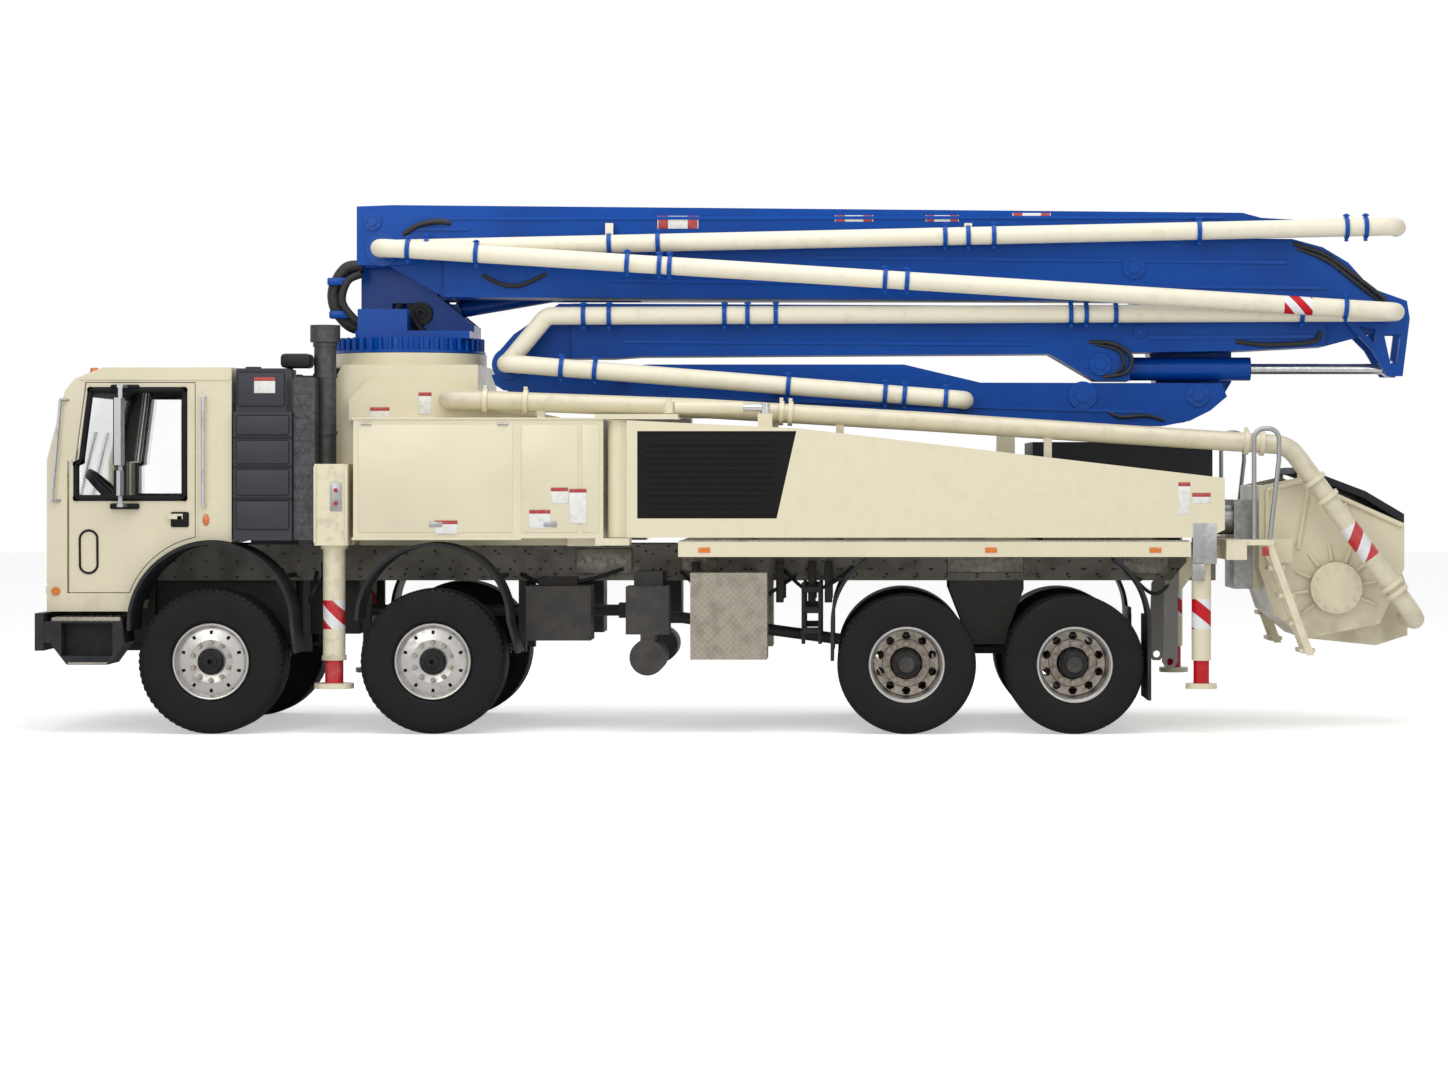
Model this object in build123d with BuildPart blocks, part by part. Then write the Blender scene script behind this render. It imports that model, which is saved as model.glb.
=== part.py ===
"""Four-axle concrete pump truck, parked, with its placing boom folded along its back.

Millimetres. +X points to the rear of the truck, +Y to its right side, +Z up.
The origin lies on the ground under the middle of the truck's box.
"""

import math
import os

from build123d import *

# Driving dimensions of the whole truck
HALF_LENGTH = 5320.0
HALF_WIDTH = 1245.0
FRAME_TOP = 1430.0
RUNNING_GAP = 5.0
SEAT_GAP = 0.3
BORE_PLAY = 0.08

SIDES = (("left", -1), ("right", 1))

# Wheels and axles
STEER_TYRE_R = 555.0
STEER_TYRE_W = 400.0
DRIVE_TYRE_R = 530.0
DRIVE_TYRE_W = 280.0
TYRE_FLATS = 40
SHOULDER_R = 0.90
TREAD_SHARE = 0.40
BEAD_R = 286.0
RIM_WALL = 24.0
STEER_TRACK_Y = 1020.0
TWIN_OUTER_Y = 1080.0
TWIN_INNER_Y = 745.0
AXLE_X = {"steer_1": -3990.0, "steer_2": -2300.0, "drive_1": 1310.0, "drive_2": 2590.0}
SPINDLE_R = 60.0
KINGPIN_R = 35.0
KINGPIN_Y = 890.0
BOSS_R = 65.0
BOSS_HALF = 60.0

# Chassis frame
RAIL_OUTER_Y = 430.0
RAIL_FLANGE = 80.0
RAIL_WALL = 12.0
RAIL_DEPTH = 280.0
RAIL_FRONT_X = -5200.0
RAIL_REAR_X = 3745.0
SPRING_Y = 390.0
SPRING_W = 75.0

# Cab
CAB_HALF = 1150.0
CAB_WALL = 50.0
CAB_FRONT_X = -5250.0
CAB_REAR_X = -3840.0
CAB_FLOOR_Z = 935.0
CAB_ROOF_Z = 2797.0
CAB_SHELF_Z = 1482.0
ARCH_Z = 840.0
ARCH_R = 640.0
FLARE_WALL = 30.0
DOOR_FRONT_X = -5095.0
DOOR_REAR_X = -4115.0
DOOR_SILL_Z = 1075.0
DOOR_TOP_Z = 2685.0
WINDOW_REAR_X = -4200.0
WINDOW_Z = (1800.0, 2625.0)

# Pedestal, cabinets and deck
SLEW_X = -2627.0
PEDESTAL_HALF = 700.0
CABINET_X = (-2899.0, -1000.0)
CABINET_Z = (1495.0, 2400.0)
COLLAR_R = 610.0
COLLAR_Z = (2832.0, 2930.0)
DECK_X = (-429.0, 3470.0)
DECK_PLATE = 40.0
SIDE_RAIL_Z = 1353.0
SIDE_RAIL_W = 90.0

# Front outriggers, which slide out across the truck
FRONT_LEG_X = -3066.0
LEG_Y = 1090.0
LEG_TUBE_R = 85.0
LEG_RAM_R = 70.0
LEG_TUBE_BOTTOM = 562.0
LEG_PAD_R = 150.0
LEG_PAD_Z = (345.0, 385.0)
HOUSING_X = (-3200.0, -2930.0)
HOUSING_HALF = 980.0
HOUSING_Z = (1440.0, 2060.0)
BEAM_SECTION = (110.0, 300.0)
BEAM_Z = 1700.0
BEAM_X = {"left": -3130.0, "right": -3000.0}

# Rear outriggers, which swing out about an upright pin
SWING_PIN = (-895.0, 1130.0)
SWING_PIN_R = 30.0
SWING_BEAM_Y = (1000.0, 1240.0)
SWING_KNUCKLE_R = 75.0
SWING_TOP_Z = 2395.0
SWING_BOTTOM_Z = 1500.0
REAR_LEG = (3561.0, 1120.0)
REAR_LEG_R = 74.0
REAR_RAM_R = 60.0
REAR_PAD_R = 120.0
RAM_BASE = (-500.0, 1180.0)
RAM_EYE = (230.0, 1130.0)
RAM_Z = 2490.0
RAM_R = 60.0
RAM_ROD_R = 28.0

# Boom: the folded stack lies left of the middle, the first section right of it
SLEW_AXIS = (SLEW_X, 0.0)
STACK_Y = (-460.0, -60.0)
FIRST_Y = (0.0, 400.0)
CHEEK = 40.0
PIN_A = (-2700.0, 3600.0)
PIN_B = (3600.0, 2600.0)
PIN_C = (-1797.0, 2842.0)
PIN_D = (5120.0, 3243.0)
PIN_E = (-2780.0, 3740.0)
BOOM_PIN_R = 45.0
PIPE_R = 70.0
INNER_PIPE_Y = -560.0
OUTER_PIPE_Y = -720.0
LINE_PIPE_R = 75.0
LINE_Y = 900.0

os.makedirs("parts", exist_ok=True)


def save(builder, name):
    builder.part.label = name
    export_step(builder.part, f"parts/{name}.step")


def block(x, y, z, mode=Mode.ADD):
    """Box between two values on each axis, given as pairs in any order."""
    middle = tuple((a + b) / 2 for a, b in (x, y, z))
    size = tuple(abs(b - a) for a, b in (x, y, z))
    with Locations(middle):
        Box(*size, mode=mode)


def across(y):
    """Plane seen from the left side, at that y, with x along and z up."""
    return Plane.XZ.offset(-y)


def plate(points, y, mode=Mode.ADD):
    """Side outline as (x, z) points, carried across the truck between the two y values."""
    low, high = sorted(y)
    with BuildSketch(across(high)) as outline:
        with BuildLine():
            Polyline(*points, close=True)
        make_face()
    extrude(outline.sketch, amount=high - low, mode=mode)


def disc(centre, radius, y, mode=Mode.ADD):
    """Round plate about a cross axis at (x, z), between the two y values."""
    low, high = sorted(y)
    with BuildSketch(across(high)) as outline:
        with Locations(centre):
            Circle(radius)
    extrude(outline.sketch, amount=high - low, mode=mode)


def post(centre, radius, z, mode=Mode.ADD):
    """Upright cylinder about (x, y), between the two z values."""
    with BuildSketch(Plane.XY.offset(z[0])) as outline:
        with Locations(centre):
            Circle(radius)
    extrude(outline.sketch, amount=z[1] - z[0], mode=mode)


def bar(start, end, radius, mode=Mode.ADD):
    """Round bar from one point to another."""
    run = Vector(*end) - Vector(*start)
    with BuildSketch(Plane(origin=start, z_dir=run.normalized())) as outline:
        Circle(radius)
    extrude(outline.sketch, amount=run.length, mode=mode)


def tube(points, radii, radius, mode=Mode.ADD):
    """Pipe whose middle line runs through the points, with one bend radius for each corner."""
    with BuildLine() as route:
        FilletPolyline(*points, radius=radii)
    run = Vector(*points[1]) - Vector(*points[0])
    with BuildSketch(Plane(origin=points[0], z_dir=run.normalized())) as section:
        Circle(radius)
    sweep(section.sketch, path=route.line, mode=mode)


# Chassis frame: two channel rails joined by cross members
CROSS_X = (-4950.0, -3250.0, -1500.0, -200.0, 1950.0, 3200.0)
with BuildPart() as frame:
    for name, s in SIDES:
        web = (s * (RAIL_OUTER_Y - RAIL_WALL), s * RAIL_OUTER_Y)
        flange = (s * (RAIL_OUTER_Y - RAIL_FLANGE), s * RAIL_OUTER_Y)
        rail_x = (RAIL_FRONT_X, RAIL_REAR_X)
        block(rail_x, web, (FRAME_TOP - RAIL_DEPTH, FRAME_TOP))
        block(rail_x, flange, (FRAME_TOP - RAIL_WALL, FRAME_TOP))
        block(rail_x, flange, (FRAME_TOP - RAIL_DEPTH, FRAME_TOP - RAIL_DEPTH + RAIL_WALL))
    for x in CROSS_X:
        inner = RAIL_OUTER_Y - RAIL_WALL
        block((x - 40, x + 40), (-inner, inner), (FRAME_TOP - 240, FRAME_TOP - 40))
save(frame, "chassis_frame")

# Front bumper with the step boxes under the doors
BUMPER_X = (-HALF_LENGTH, -5255.0)
BUMPER_Z = (640.0, 925.0)
STEP_OUTLINE = ((-5200, 890), (-5200, 690), (-5080, 535), (-4760, 535), (-4640, 700), (-4660, 890))
STEP_Y = (860.0, 1240.0)
STEP_RECESS = 160.0
HANGER_X = (-5140.0, -5080.0)
with BuildPart() as bumper:
    block(BUMPER_X, (-HALF_WIDTH, HALF_WIDTH), BUMPER_Z)
    for name, s in SIDES:
        step_y = (s * STEP_Y[0], s * STEP_Y[1])
        plate(STEP_OUTLINE, step_y)
        recess = (s * (STEP_Y[1] - STEP_RECESS), s * (STEP_Y[1] + 1))
        block((-5120, -4730), recess, (600, 850), mode=Mode.SUBTRACT)
        block((BUMPER_X[1], -5150), step_y, (700, 860))
        arm = (s * (RAIL_OUTER_Y - RAIL_FLANGE), s * RAIL_OUTER_Y)
        block((BUMPER_X[1], HANGER_X[1]), arm, (660, 900))
        block(HANGER_X, arm, (660, FRAME_TOP - RAIL_DEPTH))
save(bumper, "front_bumper")

# Steered axles: forged beams with a kingpin boss at each end, on leaf springs
SPRING_HALF = 640.0
with BuildPart() as steer_axles:
    for axle in ("steer_1", "steer_2"):
        x = AXLE_X[axle]
        block((x - 55, x + 55), (-KINGPIN_Y + 90, KINGPIN_Y - 90), (450, 555))
        block((x - 50, x + 50), (-KINGPIN_Y + 40, KINGPIN_Y - 40), (505, 555))
        for name, s in SIDES:
            pin = (x, s * KINGPIN_Y)
            post(pin, BOSS_R, (STEER_TYRE_R - BOSS_HALF, STEER_TYRE_R + BOSS_HALF))
            post(pin, KINGPIN_R + BORE_PLAY, (450, 650), mode=Mode.SUBTRACT)
            spring = (s * (SPRING_Y - SPRING_W / 2), s * (SPRING_Y + SPRING_W / 2))
            for leaf, half in enumerate((SPRING_HALF, 520.0, 380.0)):
                block((x - half, x + half), spring, (600 - 18 * leaf, 618 - 18 * leaf))
            block((x - 60, x + 60), spring, (540, 660))
            for end in (-1, 1):
                hanger = (x + end * (SPRING_HALF - 60), x + end * SPRING_HALF)
                block(hanger, spring, (590, FRAME_TOP - RAIL_DEPTH))
save(steer_axles, "steer_axles")

# Driven axles: banjo housings on a shared walking spring
BANJO_R = 190.0
HOUSING_R = 75.0
AXLE_STUB_Y = 575.0
DRIVE_MID_X = (AXLE_X["drive_1"] + AXLE_X["drive_2"]) / 2
with BuildPart() as drive_axles:
    for axle in ("drive_1", "drive_2"):
        x = AXLE_X[axle]
        disc((x, DRIVE_TYRE_R), HOUSING_R, (-AXLE_STUB_Y, AXLE_STUB_Y))
        disc((x, DRIVE_TYRE_R), BANJO_R, (-130, 130))
        for name, s in SIDES:
            disc((x, DRIVE_TYRE_R), SPINDLE_R, (s * AXLE_STUB_Y, s * 1180))
            spring = (s * (SPRING_Y - SPRING_W / 2), s * (SPRING_Y + SPRING_W / 2))
            block((x - 70, x + 70), spring, (590, 720))
    for name, s in SIDES:
        spring = (s * (SPRING_Y - SPRING_W / 2), s * (SPRING_Y + SPRING_W / 2))
        reach = (AXLE_X["drive_1"] - 120, AXLE_X["drive_2"] + 120)
        block(reach, spring, (650, 720))
        saddle = ((-150, 720), (150, 720), (290, 1080), (290, 1150), (-290, 1150), (-290, 1080))
        plate([(DRIVE_MID_X + x, z) for x, z in saddle], spring)
    bar((AXLE_X["drive_1"], 0, 600), (AXLE_X["drive_2"], 0, 600), 45)
    bar((-900, 0, 900), (AXLE_X["drive_1"], 0, 600), 45)
    block((-960, -880), (-60, 60), (840, 960))
save(drive_axles, "drive_axles")

# Steering knuckles: ears above and below the beam's boss, the kingpin, and the wheel spindle
for axle in ("steer_1", "steer_2"):
    for name, s in SIDES:
        x = AXLE_X[axle]
        z = STEER_TYRE_R
        with BuildPart() as knuckle:
            ear_y = (s * (KINGPIN_Y - 55), s * (KINGPIN_Y + 110))
            block((x - 55, x + 55), ear_y, (z + BOSS_HALF + SEAT_GAP, z + BOSS_HALF + 40))
            block((x - 55, x + 55), ear_y, (z - BOSS_HALF - 40, z - BOSS_HALF - SEAT_GAP))
            web_y = (s * (KINGPIN_Y + 72), s * (KINGPIN_Y + 110))
            block((x - 55, x + 55), web_y, (z - BOSS_HALF - 40, z + BOSS_HALF + 40))
            post((x, s * KINGPIN_Y), KINGPIN_R, (z - BOSS_HALF - 20, z + BOSS_HALF + 20))
            disc((x, z), SPINDLE_R, (s * (KINGPIN_Y + 110), s * 1180))
        save(knuckle, f"knuckle_{axle[-1]}_{name}")


def tyre(x, y, radius, width):
    """Tyre as flats about the wheel's cross axis: square shoulders, tread and two side walls."""
    sections = ((-0.5, SHOULDER_R), (-TREAD_SHARE, 1.0), (TREAD_SHARE, 1.0), (0.5, SHOULDER_R))
    faces = []
    for share, part in sections:
        with BuildSketch(across(y + share * width)) as ring:
            with Locations((x, radius)):
                RegularPolygon(radius * part, TYRE_FLATS, major_radius=False, rotation=180 / TYRE_FLATS)
        faces.append(ring.sketch)
    loft(faces, ruled=True)
    with BuildSketch(across(y + width)) as bore:
        with Locations((x, radius)):
            RegularPolygon(BEAD_R, TYRE_FLATS, major_radius=False, rotation=180 / TYRE_FLATS)
    extrude(bore.sketch, amount=2 * width, mode=Mode.SUBTRACT)


def turned(centre, profile):
    """Wheel body turned about its cross axis from (radius, y) points."""
    x, z = centre
    with BuildSketch(Plane(origin=(x, 0, z), x_dir=(1, 0, 0), z_dir=(0, 0, 1))) as section:
        with BuildLine():
            Polyline(*profile, close=True)
        make_face()
    revolve(section.sketch, axis=Axis((x, 0, z), (0, 1, 0)))


RIM_R = BEAD_R - SEAT_GAP
HAND_HOLES = 10
for axle in ("steer_1", "steer_2"):
    for name, s in SIDES:
        x = AXLE_X[axle]
        centre = (x, STEER_TYRE_R)
        with BuildPart() as wheel:
            tyre(x, s * STEER_TRACK_Y, STEER_TYRE_R, STEER_TYRE_W)
        with BuildPart() as rim:
            # Columns: radius, distance from the truck's middle
            shape = (
                (SPINDLE_R + BORE_PLAY, 1030), (150, 1030), (150, 1120), (200, 1150), (RIM_R - RIM_WALL, 1130),
                (RIM_R - RIM_WALL, 850), (RIM_R, 850), (RIM_R, 1205), (RIM_R - RIM_WALL, 1205),
                (RIM_R - RIM_WALL, 1165), (200, 1180), (120, 1155), (120, 1215), (95, 1228),
                (SPINDLE_R + BORE_PLAY, 1228),
            )
            turned(centre, [(r, s * y) for r, y in shape])
            with BuildSketch(across(s * 1190 if s > 0 else -1090)) as holes:
                with Locations(centre):
                    with PolarLocations(222, HAND_HOLES):
                        Circle(17)
            extrude(holes.sketch, amount=100, mode=Mode.SUBTRACT)
        both = Compound(children=[wheel.part.solid(), rim.part.solid()])
        both.label = f"wheel_{axle[-1]}_{name}"
        export_step(both, f"parts/{both.label}.step")

for axle in ("drive_1", "drive_2"):
    for name, s in SIDES:
        x = AXLE_X[axle]
        centre = (x, DRIVE_TYRE_R)
        with BuildPart() as outer_tyre:
            tyre(x, s * TWIN_OUTER_Y, DRIVE_TYRE_R, DRIVE_TYRE_W)
        with BuildPart() as inner_tyre:
            tyre(x, s * TWIN_INNER_Y, DRIVE_TYRE_R, DRIVE_TYRE_W)
        with BuildPart() as rim:
            shape = (
                (SPINDLE_R + BORE_PLAY, 630), (140, 630), (140, 895), (RIM_R - RIM_WALL, 895),
                (RIM_R - RIM_WALL, 615), (RIM_R, 615), (RIM_R, 1212), (RIM_R - RIM_WALL, 1212),
                (RIM_R - RIM_WALL, 925), (185, 925), (185, 940), (110, 945), (110, 1130), (85, 1150),
                (SPINDLE_R + BORE_PLAY, 1150),
            )
            turned(centre, [(r, s * y) for r, y in shape])
            with BuildSketch(across(s * 935 if s > 0 else -885)) as holes:
                with Locations(centre):
                    with PolarLocations(222, HAND_HOLES):
                        Circle(26)
            extrude(holes.sketch, amount=50, mode=Mode.SUBTRACT)
        both = Compound(children=[outer_tyre.part.solid(), inner_tyre.part.solid(), rim.part.solid()])
        both.label = f"wheel_{int(axle[-1]) + 2}_{name}"
        export_step(both, f"parts/{both.label}.step")

# Engine and gearbox as one plain block on its rubber feet, with the shaft to the driven axles
ENGINE_X = (-4850.0, -3480.0)
ENGINE_HALF = 330.0
GEARBOX_X = -3000.0
with BuildPart() as engine:
    block(ENGINE_X, (-ENGINE_HALF, ENGINE_HALF), (660, 1400))
    block((ENGINE_X[1], GEARBOX_X), (-200, 200), (720, 1150))
    for name, s in SIDES:
        for x in (-4600.0, -3700.0):
            block((x - 60, x + 60), (s * 300, s * (RAIL_OUTER_Y - RAIL_WALL)), (1200, 1290))
    bar((GEARBOX_X, 0, 900), (-960, 0, 900), 45)
save(engine, "engine_block")

# Mudguards over both steered axles, with the flaps and quarter guards of the driven pair
GUARD_WALL = 26.0
GUARDS = ((AXLE_X["steer_1"], ARCH_Z, ARCH_R - 8), (AXLE_X["steer_2"], 870.0, 590.0))
GUARD_Y = (800.0, 1240.0)
STEER_SWEEP = 634.0
GUARD_END_Z = 620.0
FLAP_Y = (600.0, 1235.0)
STAY_Z = 1195.0
with BuildPart() as mudguards:
    for name, s in SIDES:
        guard_y = (s * GUARD_Y[0], s * GUARD_Y[1])
        for x, z, outer in GUARDS:
            disc((x, z), outer, guard_y)
            disc((x, z), outer - GUARD_WALL, guard_y, mode=Mode.SUBTRACT)
            block((x - 700, x + 700), guard_y, (z - 800, z), mode=Mode.SUBTRACT)
        for x, z, outer in GUARDS:
            if x < -3000:
                block((x - outer, x - outer + GUARD_WALL), guard_y, (790, z))
            plate(
                (
                    (x + outer - GUARD_WALL, z), (x + outer, z), (x + STEER_SWEEP + GUARD_WALL, GUARD_END_Z),
                    (x + STEER_SWEEP, GUARD_END_Z),
                ),
                guard_y,
            )
            reach = math.sqrt((outer - GUARD_WALL / 2) ** 2 - (STAY_Z - z) ** 2)
            stay_y = (s * RAIL_OUTER_Y, s * (GUARD_Y[0] + 60))
            block((x + reach - 27, x + reach + 27), stay_y, (STAY_Z - 15, STAY_Z + 15))
        drive_guard_y = (s * 930, s * 1235)
        for x, side in ((AXLE_X["drive_1"], -1), (AXLE_X["drive_2"], 1)):
            disc((x, 850), 580, drive_guard_y)
            disc((x, 850), 580 - GUARD_WALL, drive_guard_y, mode=Mode.SUBTRACT)
            block((x - 600, x + 600), drive_guard_y, (200, 850), mode=Mode.SUBTRACT)
            block((x - side * 420, x - side * 620), drive_guard_y, (840, 1440), mode=Mode.SUBTRACT)
            block((x - side * 440, x + side * 300), drive_guard_y, (840, 1440), mode=Mode.SUBTRACT)
            edge = (x + side * 554, x + side * 580)
            block(edge, (s * FLAP_Y[0], s * FLAP_Y[1]), (260 if side > 0 else 560, 850))
            block((x + side * 554, x + side * 578), (s * FLAP_Y[0], s * FLAP_Y[1]), (850, 900))
            stay = (x + side * 480, x + side * 530)
            block(stay, (s * RAIL_OUTER_Y, s * 980), (1160, 1185))
save(mudguards, "mudguards")

# Exhaust: silencer standing behind the cab, with its outlet stack
STACK_Y_POS = -860.0
with BuildPart() as exhaust:
    post((-3170, STACK_Y_POS), 85, (HOUSING_Z[1], 3000))
    post((-3170, STACK_Y_POS), 115, (3000, 3131))
    post((-3170, STACK_Y_POS), 62, (2750, 3140), mode=Mode.SUBTRACT)
    block((-3368, -3206), (-1150, -720), (1480, 2720))
    block((-3368, -3206), (-900, -RAIL_OUTER_Y + 60), (FRAME_TOP, 1480))
    block((-3250, -3170), (-900, -820), (2500, 2620))
save(exhaust, "exhaust_stack")

# Tanks standing behind the cab on a cross plate
TANK_X = (-3820.0, -3375.0)
TANK_Y = (640.0, 1190.0)
TANK_Z = 1478.0
with BuildPart() as tanks:
    block(TANK_X, (-TANK_Y[1], TANK_Y[1]), (TANK_Z, TANK_Z + 35))
    for name, s in SIDES:
        tank_y = (s * TANK_Y[0], s * TANK_Y[1])
        block(TANK_X, tank_y, (TANK_Z + 35, 2460))
        block(TANK_X, (s * (RAIL_OUTER_Y - RAIL_FLANGE), s * RAIL_OUTER_Y), (FRAME_TOP, TANK_Z))
        block((-3800, -3420), (s * 700, s * 1180), (2460, 2789))
    block((-3780, -3440), (-TANK_Y[0], TANK_Y[0]), (TANK_Z + 35, 2300))
save(tanks, "side_tanks")

# Boxes hung on the rails: battery box, air tanks and their brackets
with BuildPart() as boxes:
    for name, s in SIDES:
        box_y = (s * 820, s * 1180)
        block((-832, -505), box_y, (760, 1125))
        block((-780, -560), (s * RAIL_OUTER_Y, s * 820), (1150, 1230))
        block((-780, -560), (s * 820, s * 1000), (1125, 1230))
        disc((-665, 585), 137, (s * 700, s * 1200))
        block((-720, -610), box_y, (700, 760))
        block((-1620, -1120), (s * 500, s * 900), (700, 1120))
        block((-1550, -1250), (s * RAIL_OUTER_Y, s * 600), (1120, 1180))
save(boxes, "chassis_boxes")

# Tool chest of tread plate under the deck, on both sides
TOOLBOX_X = (-338.0, 247.0)
TOOLBOX_Z = (570.0, 1231.0)
TOOLBOX_Y = (820.0, 1215.0)
with BuildPart() as toolbox:
    for name, s in SIDES:
        block(TOOLBOX_X, (s * TOOLBOX_Y[0], s * TOOLBOX_Y[1]), TOOLBOX_Z)
        for x in (-250.0, 100.0):
            block((x, x + 60), (s * RAIL_OUTER_Y, s * TOOLBOX_Y[0]), (1160, 1231))
save(toolbox, "tool_chests")

# Pedestal under the slewing ring, with the cross housing of the front outriggers
PEDESTAL_OUTLINE = (
    (-2930, FRAME_TOP), (-2930, 2060), (-3200, 2060), (-3200, 2640), (-3120, 2720), (-3060, 2832),
    (-2010, 2832), (-2010, 2600), (-1700, 2490), (-1300, 2409), (-1300, FRAME_TOP),
)
WING_OUTLINE = ((-3000, 2400), (-3000, 2560), (-2860, 2700), (-2300, 2700), (-1850, 2470), (-1300, 2400))
WING_Y = (PEDESTAL_HALF, 780.0)
SLOT_CLEAR = SEAT_GAP
with BuildPart() as pedestal:
    plate(PEDESTAL_OUTLINE, (-PEDESTAL_HALF, PEDESTAL_HALF))
    post((SLEW_X, 0), COLLAR_R, COLLAR_Z)
    block(HOUSING_X, (-HOUSING_HALF, HOUSING_HALF), HOUSING_Z)
    for name, s in SIDES:
        plate(WING_OUTLINE, (s * WING_Y[0], s * WING_Y[1]))
        x = BEAM_X[name]
        slot = (x - BEAM_SECTION[0] / 2 - SLOT_CLEAR, x + BEAM_SECTION[0] / 2 + SLOT_CLEAR)
        slot_z = (BEAM_Z - SLOT_CLEAR, BEAM_Z + BEAM_SECTION[1] + SLOT_CLEAR)
        block(slot, (-HOUSING_HALF - 1, HOUSING_HALF + 1), slot_z, mode=Mode.SUBTRACT)
save(pedestal, "pedestal")

# Side cabinets with the brackets that carry the rear outriggers' pins and rams
BRACKET_X = -430.0
with BuildPart() as cabinets:
    for name, s in SIDES:
        block(CABINET_X, (s * PEDESTAL_HALF, s * 1240), CABINET_Z)
        block((CABINET_X[0], -1653), (s * 1225, s * 1240), (1480, CABINET_Z[0]))
        foot = (s * 960, s * 1240)
        block((CABINET_X[1] - 60, -800), foot, (1440, SWING_BOTTOM_Z - RUNNING_GAP))
        block((CABINET_X[1] - 60, BRACKET_X), foot, (SWING_TOP_Z + RUNNING_GAP, 2440))
        block((-1060, -1000), foot, (1440, 2440))
        post((SWING_PIN[0], s * SWING_PIN[1]), SWING_PIN_R, (1450, 2440))
        post((RAM_BASE[0], s * RAM_BASE[1]), 20, (2440, 2560))
        block((-1295, -1040), (s * (RAIL_OUTER_Y - 40), s * 960), (FRAME_TOP, CABINET_Z[0]))
save(cabinets, "side_cabinets")

# Deck between the outriggers, its side rails and the rest that carries the folded boom
REST_X = (2030.0, 2170.0)
REST_Z = 2400.0
with BuildPart() as deck:
    block(DECK_X, (-1240, 1240), (FRAME_TOP, FRAME_TOP + DECK_PLATE))
    for name, s in SIDES:
        block(DECK_X, (s * (1240 - SIDE_RAIL_W), s * 1240), (SIDE_RAIL_Z, FRAME_TOP))
    block(REST_X, (-440, -290), (FRAME_TOP + DECK_PLATE, REST_Z - SEAT_GAP))
    block((REST_X[0] - 90, REST_X[1] + 90), (-480, -290), (FRAME_TOP + DECK_PLATE, 1520))
save(deck, "deck")

# Oil tank above the pump cylinders
OIL_X = (2300.0, 3700.0)
with BuildPart() as oil_tank:
    block(OIL_X, (-620, 620), (1800, 2233))
    for x in (2350.0, 3350.0):
        for name, s in SIDES:
            block((x, x + 100), (s * 500, s * 600), (FRAME_TOP + DECK_PLATE, 1800))
save(oil_tank, "oil_tank")

# Twin pumping cylinders lying on the deck, and the box that joins them to the hopper
PUMP_Z = 1620.0
with BuildPart() as pump:
    for name, s in SIDES:
        bar((100, s * 150, PUMP_Z), (3900, s * 150, PUMP_Z), 115)
        bar((-400, s * 150, PUMP_Z), (100, s * 150, PUMP_Z), 70)
    for x in (0.0, 1200.0, 2900.0):
        block((x, x + 120), (-280, 280), (FRAME_TOP + DECK_PLATE, PUMP_Z))
    block((3900, 4050), (-330, 330), (1080, 1780))
save(pump, "pump_unit")

# Rear cross frame with the ladder, the handrail hoops and the towing eyes
TOW_EYE = (3371.0, 520.0)
TOW_EYE_R = 28.0
TOW_LINK = (
    (3500, FRAME_TOP), (3500, 1300), (3330, 1100), (3310, 520), (3340, 470), (3400, 470), (3432, 520),
    (3432, 1040), (3620, 1300), (3620, FRAME_TOP),
)
with BuildPart() as rear_frame:
    block((3745, 3900), (-1200, 1200), (1330, 1482))
    for name, s in SIDES:
        block((3900, 4108), (s * 800, s * 1180), (1440, 1482))
        block((3500, 3760), (s * RAIL_OUTER_Y, s * 760), (1330, FRAME_TOP))
        link = (s * 560, s * 600)
        plate(TOW_LINK, link)
        disc(TOW_EYE, TOW_EYE_R, link, mode=Mode.SUBTRACT)
        side = (s * 840, s * 870), (s * 1140, s * 1170)
        for edge in side:
            plate(((4050, 1440), (4108, 1440), (4420, 600), (4360, 600)), edge)
        for step, x in ((620.0, 4370.0), (830.0, 4292.0), (1040.0, 4214.0), (1250.0, 4136.0)):
            block((x - 60, x + 60), (s * 870, s * 1140), (step, step + 30))
        hoop = [
            (3960, s * 1160, 1482), (3960, s * 1160, 2330), (4150, s * 1160, 2330), (4150, s * 1160, 2100),
            (4080, s * 1160, 1482),
        ]
        tube(hoop, (80, 80, 60), 18)
save(rear_frame, "rear_frame")

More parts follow.
